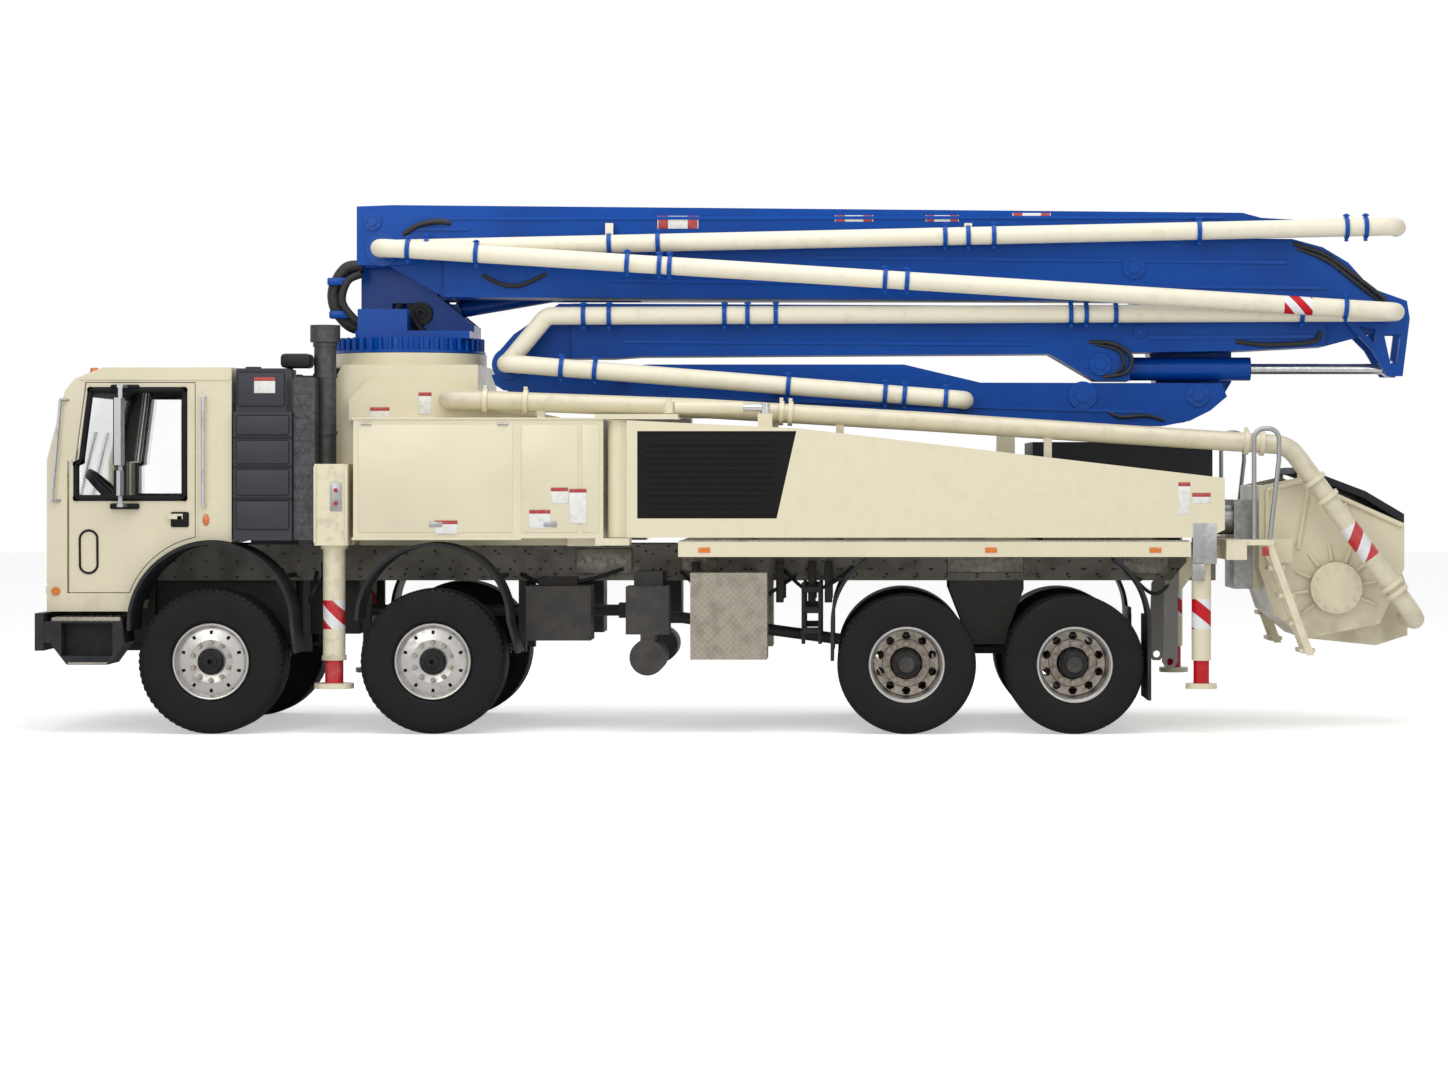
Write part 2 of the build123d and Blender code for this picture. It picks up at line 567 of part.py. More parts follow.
# Hopper: open at the top, agitator bearings in its side walls and the outlet box behind
HOPPER_OUT = (
    (4060, 1250), (4060, 1890), (4383, 1960), (5190, 1600), (5190, 1250), (5000, 820), (4420, 700),
    (4180, 900),
)
HOPPER_IN = (
    (4090, 1265), (4090, 2000), (4400, 2200), (5160, 1900), (5160, 1260), (4980, 845), (4430, 730),
    (4205, 915),
)
HOPPER_HALF = 640.0
OUTLET_Z = 860.0
COVER_ROD = (4383.0, 2000.0)
COVER_ROD_R = 14.0
with BuildPart() as hopper:
    plate(HOPPER_OUT, (-HOPPER_HALF, HOPPER_HALF))
    plate(HOPPER_IN, (-HOPPER_HALF + 25, HOPPER_HALF - 25), mode=Mode.SUBTRACT)
    disc((4650, 1100), 130, (-HOPPER_HALF - 90, -HOPPER_HALF))
    disc((4650, 1100), 130, (HOPPER_HALF, HOPPER_HALF + 90))
    plate(((5000, 820), (5190, 1250), (5250, 1100), (5250, 720), (5000, 640), (4420, 700)), (-420, 420))
    block((4050, 4110), (-330, 330), (1080, 1780))
    block((4108, 4300), (-780, 780), (1440, 1482))
    block((4108, 4300), (HOPPER_HALF, HOPPER_HALF + 160), (1300, 1482))
    block((4108, 4300), (-HOPPER_HALF - 160, -HOPPER_HALF), (1300, 1482))
    plate(HOPPER_IN, (-HOPPER_HALF + 25, HOPPER_HALF - 25), mode=Mode.SUBTRACT)
    for y in (-HOPPER_HALF + 12.5, HOPPER_HALF - 12.5):
        block((4360, 4406), (y - 12.5, y + 12.5), (1880, 2020))
    disc(COVER_ROD, COVER_ROD_R, (-HOPPER_HALF, HOPPER_HALF))
save(hopper, "hopper")

# Delivery line: from the hopper's outlet up and forward along the left side to the pedestal
LINE = (
    (SLEW_X + 400, -WING_Y[1], 2559), (SLEW_X + 400, -LINE_Y, 2559), (-1961, -LINE_Y, 2551),
    (-273, -LINE_Y, 2490),
    (1415, -LINE_Y, 2390), (4254, -LINE_Y, 2206), (HALF_LENGTH - LINE_PIPE_R, -LINE_Y, OUTLET_Z),
    (HALF_LENGTH - LINE_PIPE_R, -420, OUTLET_Z),
)
with BuildPart() as line:
    tube(LINE, (110, 100, 900, 900, 220, 130), LINE_PIPE_R)
    for x, foot, top in ((-1500.0, CABINET_Z[1], 2510.0), (800.0, 1470.0, 2420.0), (2400.0, 1470.0, 2320.0)):
        block((x - 30, x + 30), (-LINE_Y - 40, -LINE_Y + 40), (foot, top))
save(line, "delivery_line")

# Cab: roof, walls and floor 50 thick, with an engine tunnel and the wheel arches cut out
CAB_OUTLINE = (
    (CAB_FRONT_X, CAB_FLOOR_Z), (CAB_FRONT_X, 2090), (-5111, 2622), (-5035, 2713), (-4822, CAB_ROOF_Z),
    (CAB_REAR_X, CAB_ROOF_Z), (CAB_REAR_X, CAB_SHELF_Z), (-4000, CAB_FLOOR_Z),
)
CAB_ROOM = (
    (CAB_FRONT_X + CAB_WALL, 1510), (CAB_FRONT_X + CAB_WALL, 2100), (-5060, 2622), (-4990, 2680),
    (-4812, 2747),
    (CAB_REAR_X - CAB_WALL, 2747), (CAB_REAR_X - CAB_WALL, 1510),
)
TUNNEL_HALF = 470.0
TUNNEL_Z = 1460.0
ARCH = (AXLE_X["steer_1"], ARCH_Z)
CAB_PIVOT = (-5200.0, 980.0)
CAB_PIN_R = 20.0
DOOR_OPENING = (
    (DOOR_FRONT_X, DOOR_SILL_Z), (DOOR_FRONT_X, 2086), (-5036, 2086), (-4956, DOOR_TOP_Z),
    (DOOR_REAR_X, DOOR_TOP_Z), (DOOR_REAR_X, DOOR_SILL_Z),
)
DOOR_LEAF = (
    (DOOR_FRONT_X + 31, DOOR_SILL_Z + 6), (DOOR_FRONT_X + 31, 2080), (-5020, 2080), (-4946, DOOR_TOP_Z - 6),
    (DOOR_REAR_X - 6, DOOR_TOP_Z - 6), (DOOR_REAR_X - 6, DOOR_SILL_Z + 6),
)
HINGE = (DOOR_FRONT_X + 31, CAB_HALF - CAB_WALL / 2)
HINGE_PIN_R = 10.0
WINDSCREEN_HALF = 1010.0
with BuildPart() as cab:
    plate(CAB_OUTLINE, (-CAB_HALF, CAB_HALF))
    plate(CAB_ROOM, (-CAB_HALF + CAB_WALL, CAB_HALF - CAB_WALL), mode=Mode.SUBTRACT)
    disc(ARCH, ARCH_R, (-CAB_HALF - 1, CAB_HALF + 1), mode=Mode.SUBTRACT)
    tunnel = (-TUNNEL_HALF, TUNNEL_HALF)
    block((CAB_FRONT_X + CAB_WALL, -3800), tunnel, (CAB_FLOOR_Z - 1, TUNNEL_Z), mode=Mode.SUBTRACT)
    for name, s in SIDES:
        well = (s * (TUNNEL_HALF + CAB_WALL), s * (CAB_HALF - CAB_WALL))
        block((CAB_FRONT_X + CAB_WALL, -4700), well, (CAB_FLOOR_Z + CAB_WALL, 1600), mode=Mode.SUBTRACT)
        wall = (s * (CAB_HALF - CAB_WALL - 1), s * (CAB_HALF + 1))
        plate(DOOR_OPENING, wall, mode=Mode.SUBTRACT)
        disc(ARCH, ARCH_R + FLARE_WALL, (s * (CAB_HALF - CAB_WALL), s * CAB_HALF))
        disc(ARCH, ARCH_R, (s * (CAB_HALF - CAB_WALL - 1), s * (CAB_HALF + 1)), mode=Mode.SUBTRACT)
        block((-4700, -3300), (s * 1000, s * 1200), (100, CAB_FLOOR_Z), mode=Mode.SUBTRACT)
        block((CAB_REAR_X, -3300), (s * 1000, s * 1200), (100, CAB_SHELF_Z + 60), mode=Mode.SUBTRACT)
        hinge = (HINGE[0], s * HINGE[1])
        post(hinge, HINGE_PIN_R + BORE_PLAY, (DOOR_SILL_Z - 30, DOOR_SILL_Z), mode=Mode.SUBTRACT)
        post(hinge, HINGE_PIN_R + BORE_PLAY, (2086, 2116), mode=Mode.SUBTRACT)
        pivot_wall = (s * TUNNEL_HALF, s * (TUNNEL_HALF + CAB_WALL))
        disc(CAB_PIVOT, CAB_PIN_R + BORE_PLAY, pivot_wall, mode=Mode.SUBTRACT)
    block((-5300, -5060), (-WINDSCREEN_HALF, WINDSCREEN_HALF), (1750, 2590), mode=Mode.SUBTRACT)
    block((-3900, -3800), (-700, 700), (1950, 2550), mode=Mode.SUBTRACT)
save(cab, "cab_shell")

# Seats, dashboard, steering wheel and floor console
with BuildPart() as interior:
    for name, s in SIDES:
        seat = (s * 430, s * 930)
        block((-4500, -4060), seat, (1510, 1830))
        plate(((-4110, 1830), (-3960, 2380), (-4060, 2400), (-4210, 1830)), seat)
    block((CAB_FRONT_X + CAB_WALL, -5000), (-1060, 1060), (1540, 1700))
    block((-5150, -5000), (-520, 520), (1510, 1540))
    bar((-5030, -680, 1690), (-4890, -680, 1840), 30)
    with BuildSketch(Plane(origin=(-4880, -680, 1850), z_dir=(0.7, 0, 0.72))) as wheel_rim:
        Circle(225)
        Circle(195, mode=Mode.SUBTRACT)
        Rectangle(400, 36)
    extrude(wheel_rim.sketch, amount=24, both=True)
save(interior, "cab_interior")

# Windscreen and rear window, let into the openings of the cab
PANE = 8.0
with BuildPart() as glass:
    screen = ((-5238, 1750), (-5238, 2085), (-5106, 2590), (-5098, 2590), (-5230, 2083), (-5230, 1750))
    plate(screen, (-WINDSCREEN_HALF, WINDSCREEN_HALF))
    block((-3870, -3870 + PANE), (-700, 700), (1950, 2550))
save(glass, "cab_glass")

# Doors with rounded front edges on upright pins, window openings and mirrors on arms
MIRROR_Y = 1330.0
WINDOW_OUTLINE = (
    (-5025, WINDOW_Z[0]), (-5025, 2060), (-4985, 2080), (-4915, WINDOW_Z[1]),
    (WINDOW_REAR_X, WINDOW_Z[1]), (WINDOW_REAR_X, WINDOW_Z[0]),
)
for name, s in SIDES:
    leaf = (s * (CAB_HALF - CAB_WALL), s * CAB_HALF)
    hinge = (HINGE[0], s * HINGE[1])
    with BuildPart() as door:
        plate(DOOR_LEAF, leaf)
        plate(WINDOW_OUTLINE, (s * (CAB_HALF - 60), s * (CAB_HALF + 10)), mode=Mode.SUBTRACT)
        disc(ARCH, ARCH_R + FLARE_WALL + 6, (s * (CAB_HALF - 60), s * (CAB_HALF + 10)), mode=Mode.SUBTRACT)
        post(hinge, CAB_WALL / 2 - 0.5, (DOOR_SILL_Z + 6, 2080))
        post(hinge, HINGE_PIN_R, (DOOR_SILL_Z - 20, DOOR_SILL_Z + 6))
        post(hinge, HINGE_PIN_R, (2080, 2106))
        block((-4330, -4210), (s * CAB_HALF, s * (CAB_HALF + 22)), (1640, 1680))
        for z in (1745.0, 2650.0):
            block((-4672, -4628), (s * CAB_HALF, s * (MIRROR_Y + 20)), (z - 12, z + 12))
        block((-4665, -4635), (s * (MIRROR_Y - 12), s * (MIRROR_Y + 12)), (1740, 2655))
        block((-4675, -4625), (s * 1300, s * 1440), (2050, 2560))
        block((-4670, -4630), (s * 1305, s * 1435), (1820, 2010))
    save(door, f"door_{name}")

# Front outriggers: a beam that slides across the truck, its end box, and the leg inside the tube
BEAM_INNER = 900.0
END_X = (-3196.0, -2940.0)
END_Z = (1440.0, 2060.0)
RAM_TOP = 1900.0
FIT = 6.0
GUIDE = 40.0
for name, s in SIDES:
    x = BEAM_X[name]
    leg = (FRONT_LEG_X, s * LEG_Y)
    with BuildPart() as beam:
        section_x = (x - BEAM_SECTION[0] / 2, x + BEAM_SECTION[0] / 2)
        block(section_x, (-s * BEAM_INNER, s * 1000), (BEAM_Z, BEAM_Z + BEAM_SECTION[1]))
        block(END_X, (s * (HOUSING_HALF + RUNNING_GAP), s * 1240), END_Z)
        post(leg, LEG_TUBE_R, (LEG_TUBE_BOTTOM, END_Z[0]))
        post(leg, LEG_RAM_R + BORE_PLAY, (LEG_TUBE_BOTTOM, LEG_TUBE_BOTTOM + GUIDE), mode=Mode.SUBTRACT)
        post(leg, LEG_RAM_R + FIT, (LEG_TUBE_BOTTOM + GUIDE, RAM_TOP + 20), mode=Mode.SUBTRACT)
    save(beam, f"front_beam_{name}")
    with BuildPart() as ram:
        post(leg, LEG_RAM_R, (LEG_PAD_Z[0], RAM_TOP))
        post(leg, LEG_PAD_R, LEG_PAD_Z)
    save(ram, f"front_leg_{name}")

# Rear outriggers: tapered box beams on upright pins, each with a recessed louvre field and a leg
BEAM_OUTLINE = (
    (-820, SWING_BOTTOM_Z), (-820, 2392), (500, 2330), (3728, 1953), (3728, 1560), (3600, SWING_BOTTOM_Z),
)
LOUVRE = ((-740, 2310), (470, 2310), (320, 1645), (-740, 1645))
LUG = (RAM_EYE[0] - 55, RAM_EYE[0] + 55)
LUG_TOP = 2445.0
for name, s in SIDES:
    pin = (SWING_PIN[0], s * SWING_PIN[1])
    leg = (REAR_LEG[0], s * REAR_LEG[1])
    band = (s * SWING_BEAM_Y[0], s * SWING_BEAM_Y[1])
    with BuildPart() as beam:
        plate(BEAM_OUTLINE, band)
        block((-880, -810), (s * 1065, s * 1195), (SWING_BOTTOM_Z, 2392))
        post(pin, SWING_KNUCKLE_R, (SWING_BOTTOM_Z, SWING_TOP_Z))
        post(pin, SWING_PIN_R + BORE_PLAY, (SWING_BOTTOM_Z, SWING_TOP_Z), mode=Mode.SUBTRACT)
        plate(LOUVRE, (s * 1225, s * 1241), mode=Mode.SUBTRACT)
        for row in range(12):
            z = 1680 + 48 * row
            block((-700, 300), (s * 1225, s * 1234), (z, z + 22))
        post(leg, REAR_LEG_R, (LEG_TUBE_BOTTOM, SWING_BOTTOM_Z))
        post(leg, REAR_RAM_R + BORE_PLAY, (LEG_TUBE_BOTTOM, LEG_TUBE_BOTTOM + GUIDE), mode=Mode.SUBTRACT)
        post(leg, REAR_RAM_R + FIT, (LEG_TUBE_BOTTOM + GUIDE, RAM_TOP), mode=Mode.SUBTRACT)
        block(LUG, (s * 1090, s * 1170), (2300, LUG_TOP))
    save(beam, f"rear_beam_{name}")
    with BuildPart() as ram:
        post(leg, REAR_RAM_R, (LEG_PAD_Z[0], 1880))
        post(leg, REAR_PAD_R, LEG_PAD_Z)
    save(ram, f"rear_leg_{name}")
    base = Vector(RAM_BASE[0], s * RAM_BASE[1], RAM_Z)
    eye = Vector(RAM_EYE[0], s * RAM_EYE[1], RAM_Z)
    way = (eye - base).normalized()
    with BuildPart() as barrel:
        bar(base + way * 40, base + way * 560, RAM_R - 15)
        post((base.X, base.Y), 42, (2445, 2535))
        bar(base + way * 100, base + way * 565, RAM_ROD_R + BORE_PLAY, mode=Mode.SUBTRACT)
        post((base.X, base.Y), 20 + BORE_PLAY, (2440, 2540), mode=Mode.SUBTRACT)
    save(barrel, f"swing_barrel_{name}")
    with BuildPart() as rod:
        bar(base + way * 330, eye, RAM_ROD_R)
        post((eye.X, eye.Y), 36, (LUG_TOP + SEAT_GAP, 2525))
    save(rod, f"swing_rod_{name}")

# Cover over the hopper, hinged on the cross rod at its front edge
COVER_TIP_X = 5200
COVER_OUTLINE = (
    (4345, 1985), (4350, 2030), (4410, 2036), (4900, 1850), (COVER_TIP_X, 1672), (COVER_TIP_X, 1603),
    (4880, 1800), (4420, 1975),
)
with BuildPart() as cover:
    plate(COVER_OUTLINE, (-570, 570))
    disc(COVER_ROD, COVER_ROD_R + BORE_PLAY, (-571, 571), mode=Mode.SUBTRACT)
save(cover, "hopper_cover")

# Turret: slewing ring, base and the two cheeks that hold the boom's first pin
CHEEK_Y = ((-50.0, -10.0), (410.0, 450.0))
RAISE_BASE = (-2300.0, 3290.0)
RAISE_EYE = (-950.0, 3520.0)
RAISE_Y = 200.0
CHEEK_OUTLINE = (
    (-3007, 3050), (-3007, 3700), (-2890, 3810), (-2600, 3810), (-2480, 3700), (-2400, 3400), (-2110, 3160),
    (-2110, 3050),
)
with BuildPart() as turret:
    post(SLEW_AXIS, 560, (COLLAR_Z[1] + SEAT_GAP, 3050))
    block((-3007, -2110), (-380, 450), (3050, 3110))
    block((-3007, -2110), (-50, 450), (3110, 3165))
    for cheek in CHEEK_Y:
        plate(CHEEK_OUTLINE, cheek)
    block((-2760, -2490), (-60, 0), (3190, 3340), mode=Mode.SUBTRACT)
    disc(PIN_A, BOOM_PIN_R, (CHEEK_Y[0][0], CHEEK_Y[1][1]))
    for lug in ((80.0, 130.0), (270.0, 320.0)):
        plate(((-2420, 3165), (-2350, 3340), (-2250, 3340), (-2190, 3165)), lug)
    disc(RAISE_BASE, 25, (80, 320))
    for y in (-380.0, -230.0):
        block((-2990, -2600), (y, y + 30), (3110, 3280))
save(turret, "turret")

# Raising ram: barrel on the turret, rod with an open eye inside the first boom section
with BuildPart() as raise_barrel:
    base = Vector(RAISE_BASE[0], RAISE_Y, RAISE_BASE[1])
    eye = Vector(RAISE_EYE[0], RAISE_Y, RAISE_EYE[1])
    way = (eye - base).normalized()
    bar(base + way * 30, base + way * 1150, 64)
    disc(RAISE_BASE, 45, (RAISE_Y - 60, RAISE_Y + 60))
    bar(base + way * 60, base + way * 1151, 45 + BORE_PLAY, mode=Mode.SUBTRACT)
    disc(RAISE_BASE, 25 + BORE_PLAY, (RAISE_Y - 61, RAISE_Y + 61), mode=Mode.SUBTRACT)
save(raise_barrel, "raise_barrel")
with BuildPart() as raise_rod:
    bar(base + way * 300, eye, 45)
    disc(RAISE_EYE, 60, (RAISE_Y - 60, RAISE_Y + 60))
save(raise_rod, "raise_rod")

# First boom section, beside the folded stack
ARM_1 = (
    (-2930, 3400), (-2930, 3760), (-2780, 3900), (3300, 3800), (3700, 3690), (3880, 3450), (3915, 3200),
    (3915, 2716), (3840, 2590), (3700, 2470), (3540, 2395), (3420, 2385), (3340, 2600), (3250, 3000),
    (3120, 3369),
    (-2450, 3369),
)
with BuildPart() as arm_1:
    plate(ARM_1, FIRST_Y)
    disc(PIN_A, BOOM_PIN_R + BORE_PLAY, (FIRST_Y[0] - 1, FIRST_Y[1] + 1), mode=Mode.SUBTRACT)
    block((-2420, -800), (FIRST_Y[0] + 60, FIRST_Y[1] - 60), (3300, 3700), mode=Mode.SUBTRACT)
    disc(PIN_B, BOOM_PIN_R, (STACK_Y[0] - 20, FIRST_Y[0]))
save(arm_1, "arm_1")

SLOT_Y = (STACK_Y[0] + CHEEK, STACK_Y[1] - CHEEK)
TONGUE_TRIM = ((STACK_Y[0] - 1, SLOT_Y[0] + RUNNING_GAP), (SLOT_Y[1] - RUNNING_GAP, STACK_Y[1] + 1))
PIPE_MEET = (INNER_PIPE_Y + OUTER_PIPE_Y) / 2


def pipe_height(run, x):
    """Height of a pipe's middle line at x, along its straight from one (x, z) point to the next."""
    (x0, z0), (x1, z1) = run
    return z0 + (z1 - z0) * (x - x0) / (x1 - x0)


# Second boom section: forked at its front pin, beside the first section at its rear pin
ARM_2 = (
    (-1930, 2760), (-1900, 2680), (-1837, 2640), (-302, 2487), (1838, 2424), (1950, REST_Z), (2250, REST_Z),
    (2845, 2362),
    (3347, 2362), (3540, 2400), (3700, 2480), (3830, 2590), (3790, 2695), (1900, 2700), (1300, 2842),
    (-700, 2842),
    (-1400, 2780), (-1680, 2800),
)
PIPE_4 = (PIN_C, (1770.0, 2558.0))
with BuildPart() as arm_2:
    plate(ARM_2, STACK_Y)
    disc(PIN_C, 130, STACK_Y)
    disc(PIN_B, 95, (STACK_Y[0], FIRST_Y[0] - RUNNING_GAP))
    disc(PIN_B, BOOM_PIN_R + BORE_PLAY, (STACK_Y[0] - 1, FIRST_Y[0]), mode=Mode.SUBTRACT)
    block((-2000, -1600), SLOT_Y, (2500, 3000), mode=Mode.SUBTRACT)
    disc(PIN_C, BOOM_PIN_R, STACK_Y)
    route = [
        (PIN_C[0], PIPE_MEET - SEAT_GAP / 2, PIN_C[1]), (PIN_C[0], OUTER_PIPE_Y, PIN_C[1]),
        (PIPE_4[1][0], OUTER_PIPE_Y, PIPE_4[1][1]), (PIPE_4[1][0], STACK_Y[0] + 5, PIPE_4[1][1]),
    ]
    tube(route, (75, 100), PIPE_R)
    for x in (-900.0, 300.0, 1200.0):
        z = pipe_height(PIPE_4, x)
        block((x - 30, x + 30), (OUTER_PIPE_Y, STACK_Y[0] + 5), (z - 30, z + 30))
save(arm_2, "arm_2")

# Third boom section: tongues at both ends, with the bracket of the folding ram under it
BRACKET_FACE = 3070.0
ARM_3 = (
    (-1890, 2930), (-1760, 3080), (-1404, 3320), (4700, 3290), (5120, 3363), (5230, 3243), (5120, 3123),
    (4600, 2985), (3947, 2950), (BRACKET_FACE, 2935), (BRACKET_FACE, 2715), (2800, 2715), (2440, 2925),
    (-774, 2905), (-985, 2890), (-1400, 2890), (-1720, 2750), (-1860, 2750),
)
PIPE_3 = ((-1487.0, 3217.0), PIN_D)
FOLD_Z = 2812.0
FOLD_Y = -260.0
FOLD_EYE_X = 5127.0
with BuildPart() as arm_3:
    plate(ARM_3, STACK_Y)
    disc(PIN_C, 120, SLOT_Y)
    disc(PIN_D, 120, SLOT_Y)
    for trim in TONGUE_TRIM:
        block((-2100, -1300), trim, (2600, 3400), mode=Mode.SUBTRACT)
        block((4600, 5400), trim, (2600, 3500), mode=Mode.SUBTRACT)
    for pin in (PIN_C, PIN_D):
        disc(pin, BOOM_PIN_R + BORE_PLAY, STACK_Y, mode=Mode.SUBTRACT)
    route = [
        (PIN_D[0], PIPE_MEET + SEAT_GAP / 2, PIN_D[1]), (PIN_D[0], INNER_PIPE_Y, PIN_D[1]),
        (PIPE_3[0][0], INNER_PIPE_Y, PIPE_3[0][1]), (PIN_C[0], INNER_PIPE_Y, PIN_C[1]),
        (PIN_C[0], PIPE_MEET + SEAT_GAP / 2, PIN_C[1]),
    ]
    tube(route, (75, 100, 75), PIPE_R)
    for x in (-1000.0, 900.0, 2800.0, 4200.0):
        z = pipe_height(PIPE_3, x)
        block((x - 30, x + 30), (INNER_PIPE_Y, STACK_Y[0] + 5), (z - 30, z + 30))
save(arm_3, "arm_3")
with BuildPart() as fold_barrel:
    bar((BRACKET_FACE, FOLD_Y, FOLD_Z), (4033, FOLD_Y, FOLD_Z), 92)
    bar((BRACKET_FACE + 60, FOLD_Y, FOLD_Z), (4034, FOLD_Y, FOLD_Z), 42 + BORE_PLAY, mode=Mode.SUBTRACT)
save(fold_barrel, "fold_barrel")
with BuildPart() as fold_rod:
    bar((3500, FOLD_Y, FOLD_Z), (FOLD_EYE_X, FOLD_Y, FOLD_Z), 42)
    disc((FOLD_EYE_X, FOLD_Z), 62, (FOLD_Y - 70, FOLD_Y + 70))
save(fold_rod, "fold_rod")

# Fourth boom section: forked at its rear pin with a bracket for the folding ram, tongue at its front pin
ARM_4 = (
    (-2890, 3700), (-2850, 3830), (-2600, 3800), (-2450, 3690), (-1500, 3745), (2058, 3849), (4340, 3825),
    (4580, 3760),
    (4780, 3640), (4960, 3440), (5240, 3340), (5262, 3200), (5206, 2750), (5085, 2750), (4960, 2960),
    (4800, 3120),
    (4660, 3330), (1035, 3350), (-2300, 3369), (-2750, 3620),
)
PIPE_1 = (PIN_E, PIN_D)
WINDOWS_4 = (
    ((5060, 3080), (5190, 3080), (5160, 2850), (5110, 2850)),
    ((4860, 3140), (4990, 3120), (4990, 3000)),
)
with BuildPart() as arm_4:
    plate(ARM_4, STACK_Y)
    disc(PIN_E, 120, SLOT_Y)
    for trim in TONGUE_TRIM:
        block((-3000, -2300), trim, (3300, 4000), mode=Mode.SUBTRACT)
    block((4630, 5400), SLOT_Y, (2700, 3400), mode=Mode.SUBTRACT)
    for opening in WINDOWS_4:
        plate(opening, STACK_Y, mode=Mode.SUBTRACT)
    disc(PIN_D, BOOM_PIN_R, STACK_Y)
    disc(PIN_E, BOOM_PIN_R + BORE_PLAY, STACK_Y, mode=Mode.SUBTRACT)
    route = [
        (PIN_E[0], PIPE_MEET - SEAT_GAP / 2, PIN_E[1]), (PIN_E[0], OUTER_PIPE_Y, PIN_E[1]),
        (PIN_D[0], OUTER_PIPE_Y, PIN_D[1]), (PIN_D[0], PIPE_MEET - SEAT_GAP / 2, PIN_D[1]),
    ]
    tube(route, (75, 75), PIPE_R)
    for x in (-700.0, 1000.0, 2700.0):
        z = pipe_height(PIPE_1, x)
        block((x - 30, x + 30), (OUTER_PIPE_Y, STACK_Y[0] + 5), (z - 20, z + 20))
save(arm_4, "arm_4")

# Fifth boom section: forked at its pin and tapering to the tip, with the outlet elbow
ARM_5 = (
    (-2985, 3620), (-2985, 4079), (-2700, 4090), (3950, 4030), (4100, 3990), (5070, 3935), (5070, 3875),
    (3950, 3955),
    (-1900, 3810), (-2250, 3790), (-2500, 3640), (-2620, 3620),
)
TIP = (5160.0, 3915.0)
PIPE_2 = (PIN_E, TIP)
with BuildPart() as arm_5:
    plate(ARM_5, STACK_Y)
    block((-3100, -2480), SLOT_Y, (3500, 4200), mode=Mode.SUBTRACT)
    block((-2500, -2250), SLOT_Y, (3500, 3900), mode=Mode.SUBTRACT)
    disc(PIN_E, BOOM_PIN_R, STACK_Y)
    route = [
        (PIN_E[0], PIPE_MEET + SEAT_GAP / 2, PIN_E[1]), (PIN_E[0], INNER_PIPE_Y, PIN_E[1]),
        (TIP[0], INNER_PIPE_Y, TIP[1]), (TIP[0], STACK_Y[0] + 40, TIP[1]),
    ]
    tube(route, (75, 100), PIPE_R)
    for x in (-1000.0, 1800.0, 3600.0, 4900.0):
        z = pipe_height(PIPE_2, x)
        top = 3940.0 if x < 4500 else 3925.0
        block((x - 30, x + 30), (INNER_PIPE_Y - 20, INNER_PIPE_Y + 20), (min(z, top - 30), top))
        block((x - 30, x + 30), (INNER_PIPE_Y - 20, STACK_Y[0] + 5), (top - 35, top))
save(arm_5, "arm_5")
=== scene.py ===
import math

import bmesh
import bpy
from mathutils import Matrix, Vector


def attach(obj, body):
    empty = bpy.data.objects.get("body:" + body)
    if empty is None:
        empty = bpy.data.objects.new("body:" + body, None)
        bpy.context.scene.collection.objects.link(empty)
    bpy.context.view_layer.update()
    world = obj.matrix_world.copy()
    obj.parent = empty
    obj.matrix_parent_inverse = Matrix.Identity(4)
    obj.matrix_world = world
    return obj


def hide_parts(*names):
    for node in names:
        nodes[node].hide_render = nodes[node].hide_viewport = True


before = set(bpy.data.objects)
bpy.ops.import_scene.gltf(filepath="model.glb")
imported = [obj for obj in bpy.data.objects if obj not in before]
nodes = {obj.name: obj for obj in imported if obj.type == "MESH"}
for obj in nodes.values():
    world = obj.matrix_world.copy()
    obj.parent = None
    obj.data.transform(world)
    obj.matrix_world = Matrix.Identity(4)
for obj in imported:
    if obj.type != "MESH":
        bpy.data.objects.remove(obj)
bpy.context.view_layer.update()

# Ground: a plain pale floor with the truck's soft shadow on it.
# It is no part of the truck.
floor_mesh = bpy.data.meshes.new("floor")
floor_mesh.from_pydata([(-60, -40, 0), (60, -40, 0), (60, 60, 0), (-60, 60, 0)], [], [(0, 1, 2, 3)])
floor = bpy.data.objects.new("floor", floor_mesh)
bpy.context.scene.collection.objects.link(floor)


class Value:
    """A shader socket that takes part in sums, and makes any other node from itself."""

    def __init__(self, tree, socket):
        self.tree = tree
        self.socket = socket

    def node(self, kind, out=0, props=(), **inputs):
        made = self.tree.nodes.new(kind)
        for key, setting in props:
            setattr(made, key, setting)
        for key, given in inputs.items():
            slot = made.inputs[int(key[1:])] if key[1:].isdigit() else made.inputs[key.replace("_", " ")]
            if isinstance(given, Value):
                self.tree.links.new(given.socket, slot)
            else:
                slot.default_value = given
        return Value(self.tree, made.outputs[out])

    def math(self, operation, *others, clamp=False):
        given = {f"i{k}": v for k, v in enumerate((self,) + others)}
        return self.node("ShaderNodeMath", 0, (("operation", operation), ("use_clamp", clamp)), **given)

    def over(self, low, high):
        """0 under low, 1 over high, smooth between."""
        props = (("interpolation_type", "SMOOTHSTEP"),)
        return self.node("ShaderNodeMapRange", 0, props, i0=self, i1=low, i2=high)

    def mix(self, a, b):
        """Colour a where this is 0 and b where it is 1."""
        props = (("data_type", "RGBA"),)
        return self.node("ShaderNodeMix", 2, props, i0=self, i6=a, i7=b)

    def __add__(self, other):
        return self.math("ADD", other)

    __radd__ = __add__

    def __mul__(self, other):
        return self.math("MULTIPLY", other)

    __rmul__ = __mul__

    def __sub__(self, other):
        return self.math("SUBTRACT", other)

    def __rsub__(self, other):
        return (self * -1.0) + other


